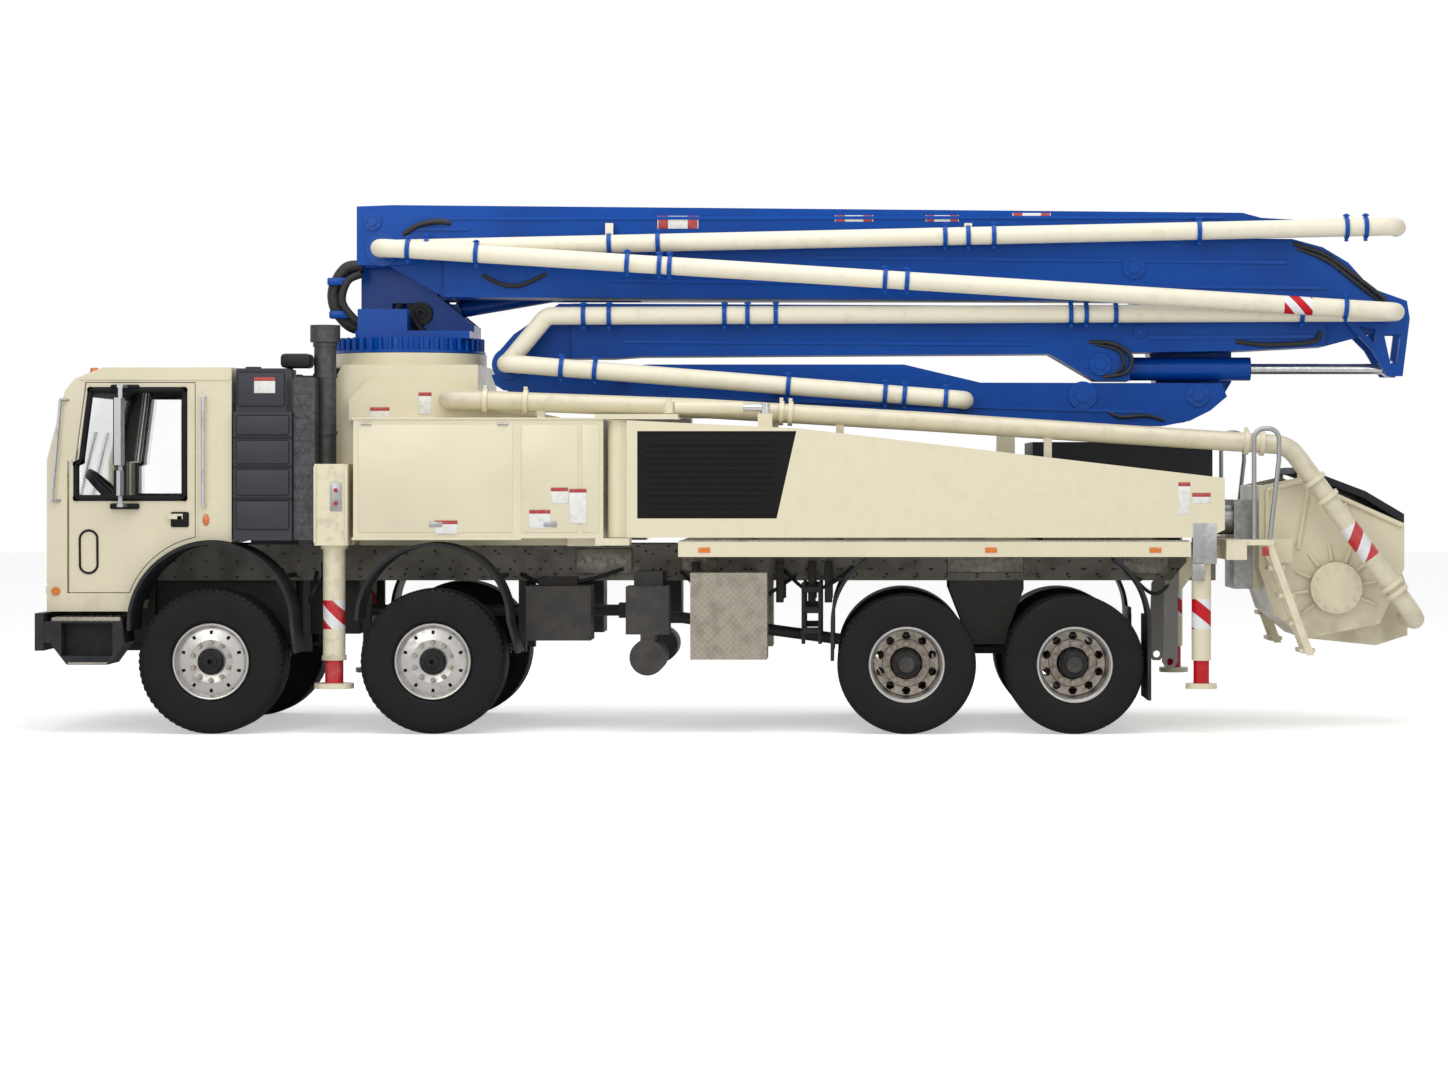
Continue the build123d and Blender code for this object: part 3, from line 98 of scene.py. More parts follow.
def colour(r, g, b):
    """Linear colour from 0 to 255 values as they look on a screen."""
    shares = (r / 255, g / 255, b / 255)
    return tuple(c / 12.92 if c < 0.04045 else ((c + 0.055) / 1.055) ** 2.4 for c in shares) + (1.0,)


def material(name, build):
    """A material whose principled shader takes what build(place, new) returns as {input: value}."""
    made = bpy.data.materials.new(name)
    made.use_nodes = True
    tree = made.node_tree
    shader = tree.nodes["Principled BSDF"]
    start = Value(tree, tree.nodes.new("ShaderNodeTexCoord").outputs["Object"])
    for key, given in build(start).items():
        if isinstance(given, Value):
            tree.links.new(given.socket, shader.inputs[key])
        else:
            shader.inputs[key].default_value = given
    return made


def noise(place, scale, detail=4.0, rough=0.55):
    return place.node("ShaderNodeTexNoise", 0, (), Vector=place, Scale=scale, Detail=detail, Roughness=rough)


def axes(place):
    """The x, y and z of a place as three values."""
    tree = place.tree
    split = tree.nodes.new("ShaderNodeSeparateXYZ")
    tree.links.new(place.socket, split.inputs[0])
    return [Value(tree, split.outputs[k]) for k in range(3)]


def bumped(height, strength, distance):
    return height.node("ShaderNodeBump", 0, (), Strength=strength, Distance=distance, Height=height)


def floor_look(place):
    """Pale floor: a glow that only the camera sees lifts it to white and keeps the shadow."""
    stain = noise(place, 0.6).over(0.35, 0.7)
    seen = place.node("ShaderNodeLightPath", 0)
    return {
        "Base Color": stain.mix(colour(250, 250, 250), colour(247, 247, 247)),
        "Roughness": 0.85,
        "Specular IOR Level": 0.1,
        "Emission Color": seen.mix((0.0, 0.0, 0.0, 1.0), (1.0, 1.0, 1.0, 1.0)),
        "Emission Strength": 0.45,
    }


floor.data.materials.append(material("floor_paint", floor_look))

# Truck body in cream machine enamel over welded steel plate.
# Dust gathers low on it, the coat ripples a little, and edges near the road are stained.


def enamel(base, dirt, ripple=0.25, low=0.35, high=1.5, gloss=0.4):
    """Sprayed enamel: colour drift, dust rising from the road, faint orange peel."""

    def look(place):
        z = axes(place)[2]
        drift = noise(place, 1.7).over(0.3, 0.75)
        speck = noise(place, 55.0, 3.0).over(0.62, 0.72)
        dust = (1.0 - z.over(low, high)) * noise(place, 5.0, 6.0).over(0.38, 0.66)
        worn = tuple(c * 0.93 for c in base[:3]) + (1.0,)
        tone = drift.mix(base, worn)
        tone = (dust * 0.5).mix(tone, dirt)
        tone = (speck * 0.12).mix(tone, dirt)
        peel = noise(place, 160.0, 2.0)
        return {
            "Base Color": tone,
            "Roughness": drift * 0.08 + dust * 0.3 + 0.26,
            "Specular IOR Level": gloss,
            "Coat Weight": gloss * 0.3,
            "Coat Roughness": 0.12,
            "Normal": bumped(peel, ripple, 0.0008),
        }

    return look


CREAM = colour(222, 214, 186)
ROAD_DUST = colour(138, 128, 108)
cream = material("cream_enamel", enamel(CREAM, ROAD_DUST))


def cab_look(place):
    """Cab shell and doors: cream outside; inside, a dark tone that is partly dark trim and partly painted shade of
    the closed cab; grey mirrors on their arms.
    """
    x, y, z = axes(place)
    outer = enamel(CREAM, ROAD_DUST)(place)
    reach = y.math("ABSOLUTE")
    # Every inner surface of the shell (walls, roof lining, floor) is painted dark: partly dark trim, partly painted
    # shade of the cab's inside.
    within = (1.0 - reach.over(1.1015, 1.1025)) * x.over(-5.199, -5.197) * (1.0 - x.over(-3.892, -3.890))
    within = within * (1.0 - z.over(2.744, 2.7455)) * z.over(1.0, 1.002)
    mirror = reach.over(1.174, 1.176) * (1.0 - x.over(-4.61, -4.60)) * x.over(-4.70, -4.69)
    # The dark tone for the inside: dark trim with painted shade, fine-grained.
    dark_trim_and_shade = noise(place, 180.0, 3.0).mix(colour(34, 32, 31), colour(58, 54, 50))
    tone = within.mix(outer["Base Color"], dark_trim_and_shade)
    outer["Base Color"] = mirror.mix(tone, colour(176, 178, 180))
    outer["Roughness"] = within * 0.3 + outer["Roughness"]
    outer["Metallic"] = mirror * 0.7
    return outer


def repaint(names, finish):
    """Gives the CAD nodes one finish, each whole."""
    for name in names:
        nodes[name].data.materials.clear()
        nodes[name].data.materials.append(finish)


repaint(["pedestal", "side_cabinets", "deck", "hopper"], cream)
repaint(["cab_shell", "door_left", "door_right"], material("cab_skin", cab_look))


def box_mesh(made, low, high, bevel=0.0):
    """Adds a box to a mesh under construction, its edges rounded where bevel is set."""
    low, high = [min(p) for p in zip(low, high)], [max(p) for p in zip(low, high)]
    grown = bmesh.ops.create_cube(made, size=1.0)["verts"]
    size = [b - a for a, b in zip(low, high)]
    middle = [(a + b) / 2 for a, b in zip(low, high)]
    for v in grown:
        v.co = Vector([c * s + m for c, s, m in zip(v.co, size, middle)])
    if bevel:
        edges = list({e for v in grown for e in v.link_edges})
        bmesh.ops.bevel(made, geom=edges, offset=bevel, segments=2, affect="EDGES", profile=0.5)


def rod_mesh(made, start, end, radius, sides=24, far_radius=None):
    """Adds a round bar from start to end."""
    start, end = Vector(start), Vector(end)
    turn = (end - start).to_track_quat("Z", "Y").to_matrix().to_4x4()
    place = Matrix.Translation((start + end) / 2) @ turn
    far = radius if far_radius is None else far_radius
    bmesh.ops.create_cone(
        made, cap_ends=True, segments=sides, radius1=radius, radius2=far, depth=(end - start).length, matrix=place
    )


def ring_mesh(made, middle, axis, outer, inner, width, sides=40):
    """Adds a plain ring about an axis through middle."""
    axis = Vector(axis).normalized()
    turn = axis.to_track_quat("Z", "Y").to_matrix()
    profile = ((outer, -width / 2), (outer, width / 2), (inner, width / 2), (inner, -width / 2))
    rows = []
    for k in range(sides):
        a = 2 * math.pi * k / sides
        row = [
            made.verts.new(Vector(middle) + turn @ Vector((r * math.cos(a), r * math.sin(a), h))) for r, h in profile
        ]
        rows.append(row)
    for k in range(sides):
        a, b = rows[k], rows[(k + 1) % sides]
        for j in range(4):
            made.faces.new((a[j], b[j], b[(j + 1) % 4], a[(j + 1) % 4]))


def hose_mesh(made, points, radius, sides=12, per=10):
    """Adds a hose that passes smoothly through the points."""
    points = [Vector(p) for p in points]
    ends = [points[0] * 2 - points[1]] + points + [points[-1] * 2 - points[-2]]
    path = []
    for k in range(1, len(ends) - 2):
        a, b, c, d = ends[k - 1 : k + 3]
        for j in range(per):
            t = j / per
            path.append(
                0.5 * (2 * b + (c - a) * t + (2 * a - 5 * b + 4 * c - d) * t * t + (3 * b - a - 3 * c + d) * t ** 3)
            )
    path.append(points[-1])
    rows = []
    up = Vector((0.13, 0.21, 0.97)).normalized()
    for k, p in enumerate(path):
        way = (path[min(k + 1, len(path) - 1)] - path[max(k - 1, 0)]).normalized()
        across = way.cross(up).normalized()
        up = across.cross(way).normalized()
        rows.append([
            made.verts.new(p + radius * (across * math.cos(2 * math.pi * j / sides) + up * math.sin(2 * math.pi * j / sides)))
            for j in range(sides)
        ])
    for a, b in zip(rows, rows[1:]):
        for j in range(sides):
            made.faces.new((a[j], b[j], b[(j + 1) % sides], a[(j + 1) % sides]))
    made.faces.new(rows[0])
    made.faces.new(list(reversed(rows[-1])))


def lathe_mesh(made, centre, profile, sides=96):
    """Adds a body turned about the cross axis through centre from (radius, y) points."""
    rows = []
    for k in range(sides):
        a = 2 * math.pi * k / sides
        rows.append([
            made.verts.new((centre[0] + r * math.cos(a), y, centre[1] + r * math.sin(a))) for r, y in profile
        ])
    last = len(profile)
    for k in range(sides):
        a, b = rows[k], rows[(k + 1) % sides]
        for j in range(last):
            made.faces.new((a[j], b[j], b[(j + 1) % last], a[(j + 1) % last]))


def piece(name, made, finish, body, smooth=35.0, stands_for=()):
    """Turns the mesh under construction into a named piece that rides on a body."""
    bmesh.ops.recalc_face_normals(made, faces=made.faces)
    data = bpy.data.meshes.new(name)
    made.to_mesh(data)
    made.free()
    item = bpy.data.objects.new(name, data)
    bpy.context.scene.collection.objects.link(item)
    data.materials.append(finish)
    for face in data.polygons:
        face.use_smooth = True
    data.set_sharp_from_angle(angle=math.radians(smooth))
    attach(item, body)
    if stands_for:
        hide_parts(*stands_for)
    return item


# Black grained plastic: bumper, steps, mudguards and the hopper's cover.
# Moulded or pressed, bolted on, dull with road film.


def plastic(base, film=colour(92, 90, 86), rough=0.5):
    def look(place):
        z = axes(place)[2]
        dust = (1.0 - z.over(0.3, 1.6)) * noise(place, 6.0, 6.0).over(0.4, 0.7)
        grain = noise(place, 420.0, 2.0)
        return {
            "Base Color": (dust * 0.22).mix(base, film),
            "Roughness": noise(place, 3.0) * 0.2 + rough - 0.1,
            "Specular IOR Level": 0.2,
            "Normal": bumped(grain, 0.3, 0.0006),
        }

    return look


black = material("black_plastic_skin", plastic(colour(36, 37, 40)))
dark_tank = material("dark_tank_skin", plastic(colour(58, 60, 66), rough=0.42))
repaint(["front_bumper", "mudguards", "hopper_cover", "cab_interior", "oil_tank"], black)
repaint(["side_tanks"], dark_tank)

# Chassis rails, axles, springs and driveline in grey-black chassis paint.
# Rolled and forged steel, riveted, thick with road dirt.


def chassis_look(place):
    z = axes(place)[2]
    dirt = noise(place, 7.0, 7.0).over(0.4, 0.68)
    rust = noise(place, 16.0, 6.0).over(0.62, 0.74)
    tone = (dirt * 0.5).mix(colour(40, 39, 39), colour(84, 78, 70))
    tone = (rust * 0.3 * (1.0 - z.over(0.4, 1.4))).mix(tone, colour(104, 66, 42))
    return {
        "Base Color": tone,
        "Roughness": dirt * 0.25 + 0.5,
        "Metallic": 0.15,
        "Normal": bumped(noise(place, 90.0, 3.0), 0.4, 0.0012),
    }


def rail_look(place):
    """Side rails: mid grey paint, dusty, with dark drain marks, and holes drawn as dark spots of painted shade over a
    shallow dent.
    """
    x, y, z = axes(place)
    dirt = noise(place, 6.0, 7.0).over(0.42, 0.68)
    drip = noise(place, 30.0, 3.0).over(0.6, 0.72)
    # Holes: a grid of spots painted near black as the shade seen through them, also dented by the bump.
    hole = ((x * 26.0).math("SINE") * (z * 52.0).math("SINE")).over(0.90, 0.93)
    tone = (dirt * 0.5).mix(colour(134, 130, 122), colour(92, 86, 76))
    return {
        # Drain marks (real stains) and the painted shade of the holes both darken towards (40, 38, 36).
        "Base Color": (drip * 0.3 + hole * 0.8).mix(tone, colour(40, 38, 36)),
        "Roughness": dirt * 0.2 + 0.5,
        "Normal": bumped(noise(place, 90.0, 3.0) - hole, 0.4, 0.002),
    }


chassis = material("chassis_coat", chassis_look)
knuckle_names = [f"knuckle_{a}_{s}" for a in (1, 2) for s in ("left", "right")]
repaint(["chassis_frame"], material("rail_paint", rail_look))
repaint(["steer_axles", "drive_axles", "engine_block", "chassis_boxes"] + knuckle_names, chassis)

# Bare metal: rods of the rams, silencer and stack, pumping cylinders.
# Ground or rolled steel with streaks along it.


def steel(base, rough, tint=colour(128, 112, 92)):
    def look(place):
        streak = noise(place, 24.0, 5.0).over(0.35, 0.7)
        stain = noise(place, 4.0, 5.0).over(0.5, 0.75)
        return {
            "Base Color": (stain * 0.3).mix(streak.mix(base, tuple(c * 0.8 for c in base[:3]) + (1.0,)), tint),
            "Metallic": 0.9,
            "Roughness": streak * 0.14 + rough,
            "Normal": bumped(noise(place, 220.0, 2.0), 0.15, 0.0004),
        }

    return look


bare = material("bare_steel", steel(colour(168, 168, 168), 0.32))
chrome = material("ram_chrome", steel(colour(205, 206, 208), 0.12))
silencer = material("silencer_steel", steel(colour(84, 84, 86), 0.5, colour(62, 58, 54)))
repaint(["exhaust_stack"], silencer)
repaint(["pump_unit"], bare)
repaint(["raise_rod", "fold_rod", "swing_rod_left", "swing_rod_right"], chrome)

# Tool chests of five-bar tread plate: raised bars crossed two ways, bright where rubbed.
# Folded aluminium sheet.


def tread_look(place):
    x, y, z = axes(place)
    a = ((x + z) * 260.0).math("SINE")
    b = ((x - z) * 260.0).math("SINE")
    cell = ((x * 130.0).math("SINE") * (z * 130.0).math("SINE")).over(-0.05, 0.05)
    bars = a.over(0.55, 0.8) * cell + b.over(0.55, 0.8) * (1.0 - cell)
    grime = noise(place, 9.0, 6.0).over(0.4, 0.7)
    return {
        "Base Color": (grime * 0.4).mix(bars.mix(colour(150, 144, 131), colour(196, 190, 176)), colour(104, 96, 84)),
        "Metallic": 0.75,
        "Roughness": 0.46 - bars * 0.14 + grime * 0.15,
        "Normal": bumped(bars, 0.8, 0.004),
    }


tread_plate = material("tread_plate", tread_look)
repaint(["tool_chests"], tread_plate)

# Boom sections in blue enamel, with the ivory delivery pipes that run beside them.
# The pipes are welded tube; one mask along y parts them from the steel they are clamped to.
BLUE = colour(2, 72, 160)
IVORY = colour(232, 226, 206)
RED = colour(190, 22, 34)


def boom_look(place):
    x, y, z = axes(place)
    pipe = 1.0 - y.over(-0.4905, -0.4895)
    drift = noise(place, 1.3).over(0.3, 0.75)
    seam = ((x * 1.9).math("SINE")).math("ABSOLUTE")
    weld = 1.0 - seam.over(0.004, 0.012)
    blue_tone = drift.mix(BLUE, colour(2, 62, 142))
    blue_tone = (weld * 0.35).mix(blue_tone, colour(8, 46, 110))
    grime = noise(place, 11.0, 6.0).over(0.52, 0.72)
    ivory_tone = (grime * 0.25).mix(IVORY, colour(196, 188, 166))
    band = (1.0 - y.over(-0.6505, -0.6495)) * x.over(4.239, 4.241) * (1.0 - x.over(4.459, 4.461)) * z.over(3.19, 3.2)
    band_tone = ((x + z * 0.9) * 40.0).math("SINE").over(-0.05, 0.05).mix(RED, colour(228, 230, 232))
    ivory_tone = (band * (1.0 - z.over(3.40, 3.41))).mix(ivory_tone, band_tone)
    return {
        "Base Color": pipe.mix((grime * 0.1).mix(blue_tone, colour(60, 84, 120)), ivory_tone),
        "Roughness": drift * 0.1 + grime * 0.12 + 0.3,
        "Specular IOR Level": 0.2,
        "Normal": bumped(weld * 0.6 + noise(place, 140.0, 2.0) * 0.1, 0.35, 0.003),
    }


boom = material("boom_enamel", boom_look)
blue = material("blue_enamel", enamel(BLUE, colour(40, 70, 120), low=2.0, high=3.0, gloss=0.2))
repaint(["arm_2", "arm_3", "arm_4", "arm_5"], boom)
repaint(["arm_1", "turret", "raise_barrel", "fold_barrel"], blue)

# Outrigger beams and legs: cream, with red and white warning bands on the legs.
# The rams are ground steel painted red where they leave the tube.


def warning_band(centre_x, low, high, foot, rise=1.0):
    """Cream enamel with slanted red and white bands between two heights."""

    def look(place):
        x, y, z = axes(place)
        grime = noise(place, 12.0, 6.0).over(0.45, 0.7)
        slant = ((z - (x - centre_x) * rise - low) * (math.pi / (high - low) * 2.0)).math("SINE")
        inside = z.over(low - 0.001, low + 0.001) * (1.0 - z.over(high - 0.001, high + 0.001))
        near = 1.0 - (x - centre_x).math("ABSOLUTE").over(0.12, 0.122)
        band = slant.over(-0.03, 0.03).mix(RED, colour(226, 228, 230))
        tone = (inside * near).mix(CREAM, band)
        tone = ((1.0 - z.over(foot - 0.001, foot + 0.001)) * z.over(0.386, 0.388)).mix(tone, RED)
        return {
            "Base Color": (grime * 0.3).mix(tone, ROAD_DUST),
            "Roughness": grime * 0.2 + 0.34,
            "Coat Weight": 0.25,
            "Normal": bumped(noise(place, 150.0, 2.0), 0.2, 0.0008),
        }

    return look


front_leg = material("front_leg_bands", warning_band(-3.066, 0.80, 1.02, 0.56, rise=-1.0))
repaint(["front_beam_left", "front_beam_right", "front_leg_left", "front_leg_right"], front_leg)


def rear_beam_look(place):
    """Rear beam: cream box, black louvre field on its side, banded leg."""
    x, y, z = axes(place)
    grime = noise(place, 9.0, 6.0).over(0.45, 0.7)
    right_edge = 0.47 - (2.31 - z) * 0.2256
    field = x.over(-0.7405, -0.7395) * (1.0 - (x - right_edge).over(-0.001, 0.001))
    field = field * z.over(1.6445, 1.6455) * (1.0 - z.over(2.3095, 2.3105))
    slant = ((z + (x - 3.561) * 0.8 - 0.76) * 27.0).math("SINE")
    inside = z.over(0.799, 0.801) * (1.0 - z.over(1.029, 1.031))
    tone = (inside).mix(CREAM, slant.over(-0.03, 0.03).mix(RED, colour(226, 228, 230)))
    tone = field.mix(tone, colour(8, 8, 9))
    foot = (1.0 - z.over(0.559, 0.561)) * z.over(0.386, 0.388)
    tone = foot.mix(tone, RED)
    return {
        "Base Color": (grime * (1.0 - field) * 0.05).mix(tone, ROAD_DUST),
        "Roughness": grime * 0.1 + field * 0.2 + 0.3,
        "Specular IOR Level": 0.2,
        "Coat Weight": (1.0 - field) * 0.1,
        "Normal": bumped(noise(place, 150.0, 2.0), 0.2, 0.0008),
    }


rear_beam = material("rear_beam_skin", rear_beam_look)
repaint(["rear_beam_left", "rear_beam_right", "rear_leg_left", "rear_leg_right"], rear_beam)
repaint(["swing_barrel_left", "swing_barrel_right"], cream)

# Delivery line on the body: cream tube with two slanted warning bands near the hopper.
# Welded tube in clamps.


def line_look(place):
    x, y, z = axes(place)
    grime = noise(place, 8.0, 6.0).over(0.45, 0.7)
    along = (x - 4.80) * 0.593 - (z - 1.46) * 0.805
    inside = along.over(-0.1505, -0.1495) * (1.0 - along.over(0.1495, 0.1505)) * x.over(4.3, 4.31)
    slant = ((along + ((x - 4.80) * 0.805 + (z - 1.46) * 0.593) * 0.7) * 30.0).math("SINE")
    tone = inside.mix(colour(212, 204, 178), slant.over(-0.05, 0.05).mix(RED, colour(226, 228, 230)))
    return {
        "Base Color": (grime * 0.2).mix(tone, ROAD_DUST),
        "Roughness": grime * 0.2 + 0.3,
        "Coat Weight": 0.3,
        "Normal": bumped(noise(place, 120.0, 2.0), 0.25, 0.001),
    }


repaint(["delivery_line"], material("line_skin", line_look))

# Cab windows: clear panes, thin and slightly grey, set in black rubber.
# Window glass of the doors rides on each door.


def glass_look(place):
    film = noise(place, 3.0).over(0.3, 0.8)
    return {
        "Base Color": film.mix(colour(250, 252, 252), colour(240, 246, 246)),
        "Roughness": film * 0.03 + 0.02,
        "Transmission Weight": 1.0,
        "IOR": 1.05,
        "Alpha": film * 0.05 + 0.25,
    }


glass = material("window_glass", glass_look)
repaint(["cab_glass"], glass)
rubber = material("seal_rubber", plastic(colour(18, 18, 20), rough=0.6))
window = ((-5.025, 1.80), (-5.025, 2.06), (-4.985, 2.08), (-4.915, 2.625), (-4.20, 2.625), (-4.20, 1.80))
for side, s in (("left", -1), ("right", 1)):
    made = bmesh.new()
    rows = [[made.verts.new((x, s * y, z)) for x, z in window] for y in (1.118, 1.124)]
    made.faces.new(rows[0])
    made.faces.new(list(reversed(rows[1])))
    for j in range(len(window)):
        k = (j + 1) % len(window)
        made.faces.new((rows[0][j], rows[1][j], rows[1][k], rows[0][k]))
    piece(f"door_pane_{side}", made, glass, f"door_{side}", 20)
    made = bmesh.new()
    for j in range(len(window)):
        a, b = window[j], window[(j + 1) % len(window)]
        rod_mesh(made, (a[0], s * 1.146, a[1]), (b[0], s * 1.146, b[1]), 0.024, 12)
        for end in (a, b):
            rod_mesh(made, (end[0], s * 1.128, end[1]), (end[0], s * 1.168, end[1]), 0.024, 16)
    piece(f"door_seal_{side}", made, rubber, f"door_{side}", 40)

# Wheels: a worn radial tyre on a polished alloy disc wheel, one hub for each body.
# The tyre is turned with groove ribs and cut shoulder blocks; nuts stand in a ring round the hub.


def tyre_look(place):
    x, y, z = axes(place)
    band = noise(place, 5.0, 5.0).over(0.35, 0.7)
    return {
        "Base Color": (band * 0.25).mix(colour(15, 15, 17), colour(36, 34, 33)),
        "Roughness": band * 0.2 + 0.55,
        "Specular IOR Level": 0.2,
        "Normal": bumped(noise(place, 260.0, 3.0), 0.35, 0.0008),
    }


def alloy_look(place):
    turned = noise(place, 60.0, 3.0)
    grime = noise(place, 14.0, 6.0).over(0.5, 0.75)
    return {
        "Base Color": (grime * 0.35).mix(colour(188, 186, 182), colour(112, 104, 94)),
        "Metallic": 0.85,
        "Roughness": turned * 0.12 + grime * 0.15 + 0.24,
        "Normal": bumped(turned, 0.12, 0.0005),
    }


tyre_rubber = material("tyre_rubber", tyre_look)
alloy = material("wheel_alloy", alloy_look)
disc_steel = material("wheel_disc_steel", steel(colour(168, 158, 146), 0.4, colour(112, 100, 88)))
hub_black = material("hub_black", plastic(colour(24, 24, 26), rough=0.38))


def add_tyre(made, centre, y0, radius, width, bead=0.286):
    half = width / 2
    profile = [
        (bead, -half * 0.86), (bead + 0.03, -half * 0.98), (bead + 0.09, -half * 1.0), (radius * 0.80, -half * 1.0),
        (radius * 0.90, -half * 0.985), (radius * 0.965, -half * 0.93), (radius * 0.985, -half * 0.86),
        (radius * 0.995, -half * 0.72),
    ]
    for groove in (-0.5, -0.17, 0.17, 0.5):
        profile += [
            (radius, (groove - 0.05) * half), (radius - 0.014, (groove - 0.035) * half),
            (radius - 0.014, (groove + 0.035) * half), (radius, (groove + 0.05) * half),
        ]
    profile += [(r, -y) for r, y in reversed(profile[:8])]
    profile += [(bead - 0.004, half * 0.8), (bead - 0.004, -half * 0.8)]
    lathe_mesh(made, centre, [(r, y0 + y) for r, y in profile], 120)
    blocks = 64
    for k in range(blocks):
        a = 2 * math.pi * k / blocks
        for s in (-1, 1):
            ray = Vector((math.cos(a), 0, math.sin(a)))
            side = Vector((-math.sin(a), 0, math.cos(a)))
            base = Vector((centre[0], y0 + s * half * 0.90, centre[1]))
            corners = []
            for r, w, h in ((0.945, 0.017, 0.099), (0.989, 0.017, 0.03), (0.989, -0.02, -0.06)):
                for d in (-1, 1):
                    corners.append(base + ray * radius * r + side * w * d * 0.8 + Vector((0, s * half * h * 0.9, 0)))
            verts = [made.verts.new(c) for c in corners]
            made.faces.new((verts[0], verts[1], verts[3], verts[2]))
            made.faces.new((verts[2], verts[3], verts[5], verts[4]))


def add_nuts(made, centre, y, s, ring, count, size, length):
    for k in range(count):
        a = 2 * math.pi * (k + 0.5) / count
        at = Vector((centre[0] + ring * math.cos(a), s * y, centre[1] + ring * math.sin(a)))
        rod_mesh(made, at, at + Vector((0, s * length, 0)), size, 6)
        rod_mesh(made, at + Vector((0, s * length, 0)), at + Vector((0, s * (length + 0.012), 0)), size * 0.55, 10)


def add_disc(made, centre, s, rings, holes, hole_ring, hole_r, sides=120):
    """Wheel disc from (radius, y) rings with round hand holes through it at hole_ring."""
    rows = []
    for r, y in rings:
        rows.append([
            made.verts.new((centre[0] + r * math.cos(2 * math.pi * k / sides), s * y, centre[1] + r * math.sin(2 * math.pi * k / sides)))
            for k in range(sides)
        ])
    per = sides // holes
    for j in range(len(rows) - 1):
        for k in range(sides):
            mid = (rings[j][0] + rings[j + 1][0]) / 2
            turn = ((k + 0.5) % per) - per / 2
            across = mid * math.sin(2 * math.pi * turn / sides)
            if (mid - hole_ring) ** 2 + across ** 2 < hole_r ** 2:
                continue
            m = (k + 1) % sides
            made.faces.new((rows[j][k], rows[j][m], rows[j + 1][m], rows[j + 1][k]))


axles = ((1, -3.99, 0.555, True), (2, -2.30, 0.555, True), (3, 1.31, 0.53, False), (4, 2.59, 0.53, False))
for axle, x, z, steer in axles:
    for side, s in (("left", -1), ("right", 1)):
        body = f"wheel_{axle}_{side}"
        centre = (x, z)
        made = bmesh.new()
        if steer:
            add_tyre(made, centre, s * 1.02, 0.555, 0.40)
        else:
            add_tyre(made, centre, s * 1.08, 0.53, 0.28)
            add_tyre(made, centre, s * 0.745, 0.53, 0.28)
        piece(f"tyre_{axle}_{side}", made, tyre_rubber, body, 30, (body,))
        made = bmesh.new()
        if steer:
            rim = [
                (0.286, 1.195), (0.292, 1.208), (0.286, 1.214), (0.276, 1.212), (0.262, 1.196), (0.256, 1.17), (0.25, 1.14),
                (0.25, 0.86), (0.286, 0.85),
            ]
            lathe_mesh(made, centre, [(r, s * y) for r, y in rim], 96)
            face = [(0.256, 1.166)] + [(0.256 - 0.004 * k, 1.166 + 0.0011 * k) for k in range(1, 24)]
            face += [(0.15, 1.186), (0.10, 1.18), (0.098, 1.16)]
            add_disc(made, centre, s, face, 10, 0.222, 0.016)
        else:
            rim = [
                (0.286, 1.195), (0.292, 1.208), (0.286, 1.214), (0.276, 1.212), (0.262, 1.196), (0.256, 1.15), (0.252, 0.95),
                (0.252, 0.62), (0.286, 0.615),
            ]
            lathe_mesh(made, centre, [(r, s * y) for r, y in rim], 96)
        piece(f"rim_{axle}_{side}", made, alloy, body, 30)
        made = bmesh.new()
        if steer:
            add_nuts(made, centre, 1.186, s, 0.14, 10, 0.019, 0.03)
            lathe_mesh(made, centre, [(r, s * y) for r, y in ((0.166, 1.1845), (0.168, 1.1905), (0.162, 1.1905))], 64)
        else:
            face = [(0.250, 0.99), (0.246, 0.952)] + [(0.246 - 0.004 * k, 0.952 - 0.0006 * k) for k in range(1, 16)]
            face += [(0.18, 0.948), (0.125, 0.952), (0.12, 0.932)]
            add_disc(made, centre, s, face, 10, 0.212, 0.031)
            add_nuts(made, centre, 0.952, s, 0.150, 10, 0.021, 0.045)
        piece(f"wheel_nuts_{axle}_{side}", made, disc_steel, body, 30)
        made = bmesh.new()
        if steer:
            hub = [(0.10, 1.17), (0.10, 1.205), (0.088, 1.222), (0.052, 1.225), (0.048, 1.236), (0.02, 1.238), (0.02, 1.17)]
            drum = [(0.205, 0.96), (0.205, 1.13), (0.10, 1.15), (0.10, 0.96)]
        else:
            hub = [(0.125, 0.94), (0.112, 0.98), (0.105, 1.10), (0.095, 1.145), (0.055, 1.155), (0.05, 1.165), (0.02, 1.168), (0.02, 0.94)]
            drum = [(0.205, 0.66), (0.205, 0.90), (0.12, 0.92), (0.12, 0.66)]
        lathe_mesh(made, centre, [(r, s * y) for r, y in hub], 48)
        lathe_mesh(made, centre, [(r, s * y) for r, y in drum], 64)
        piece(f"hub_{axle}_{side}", made, hub_black, body, 30)

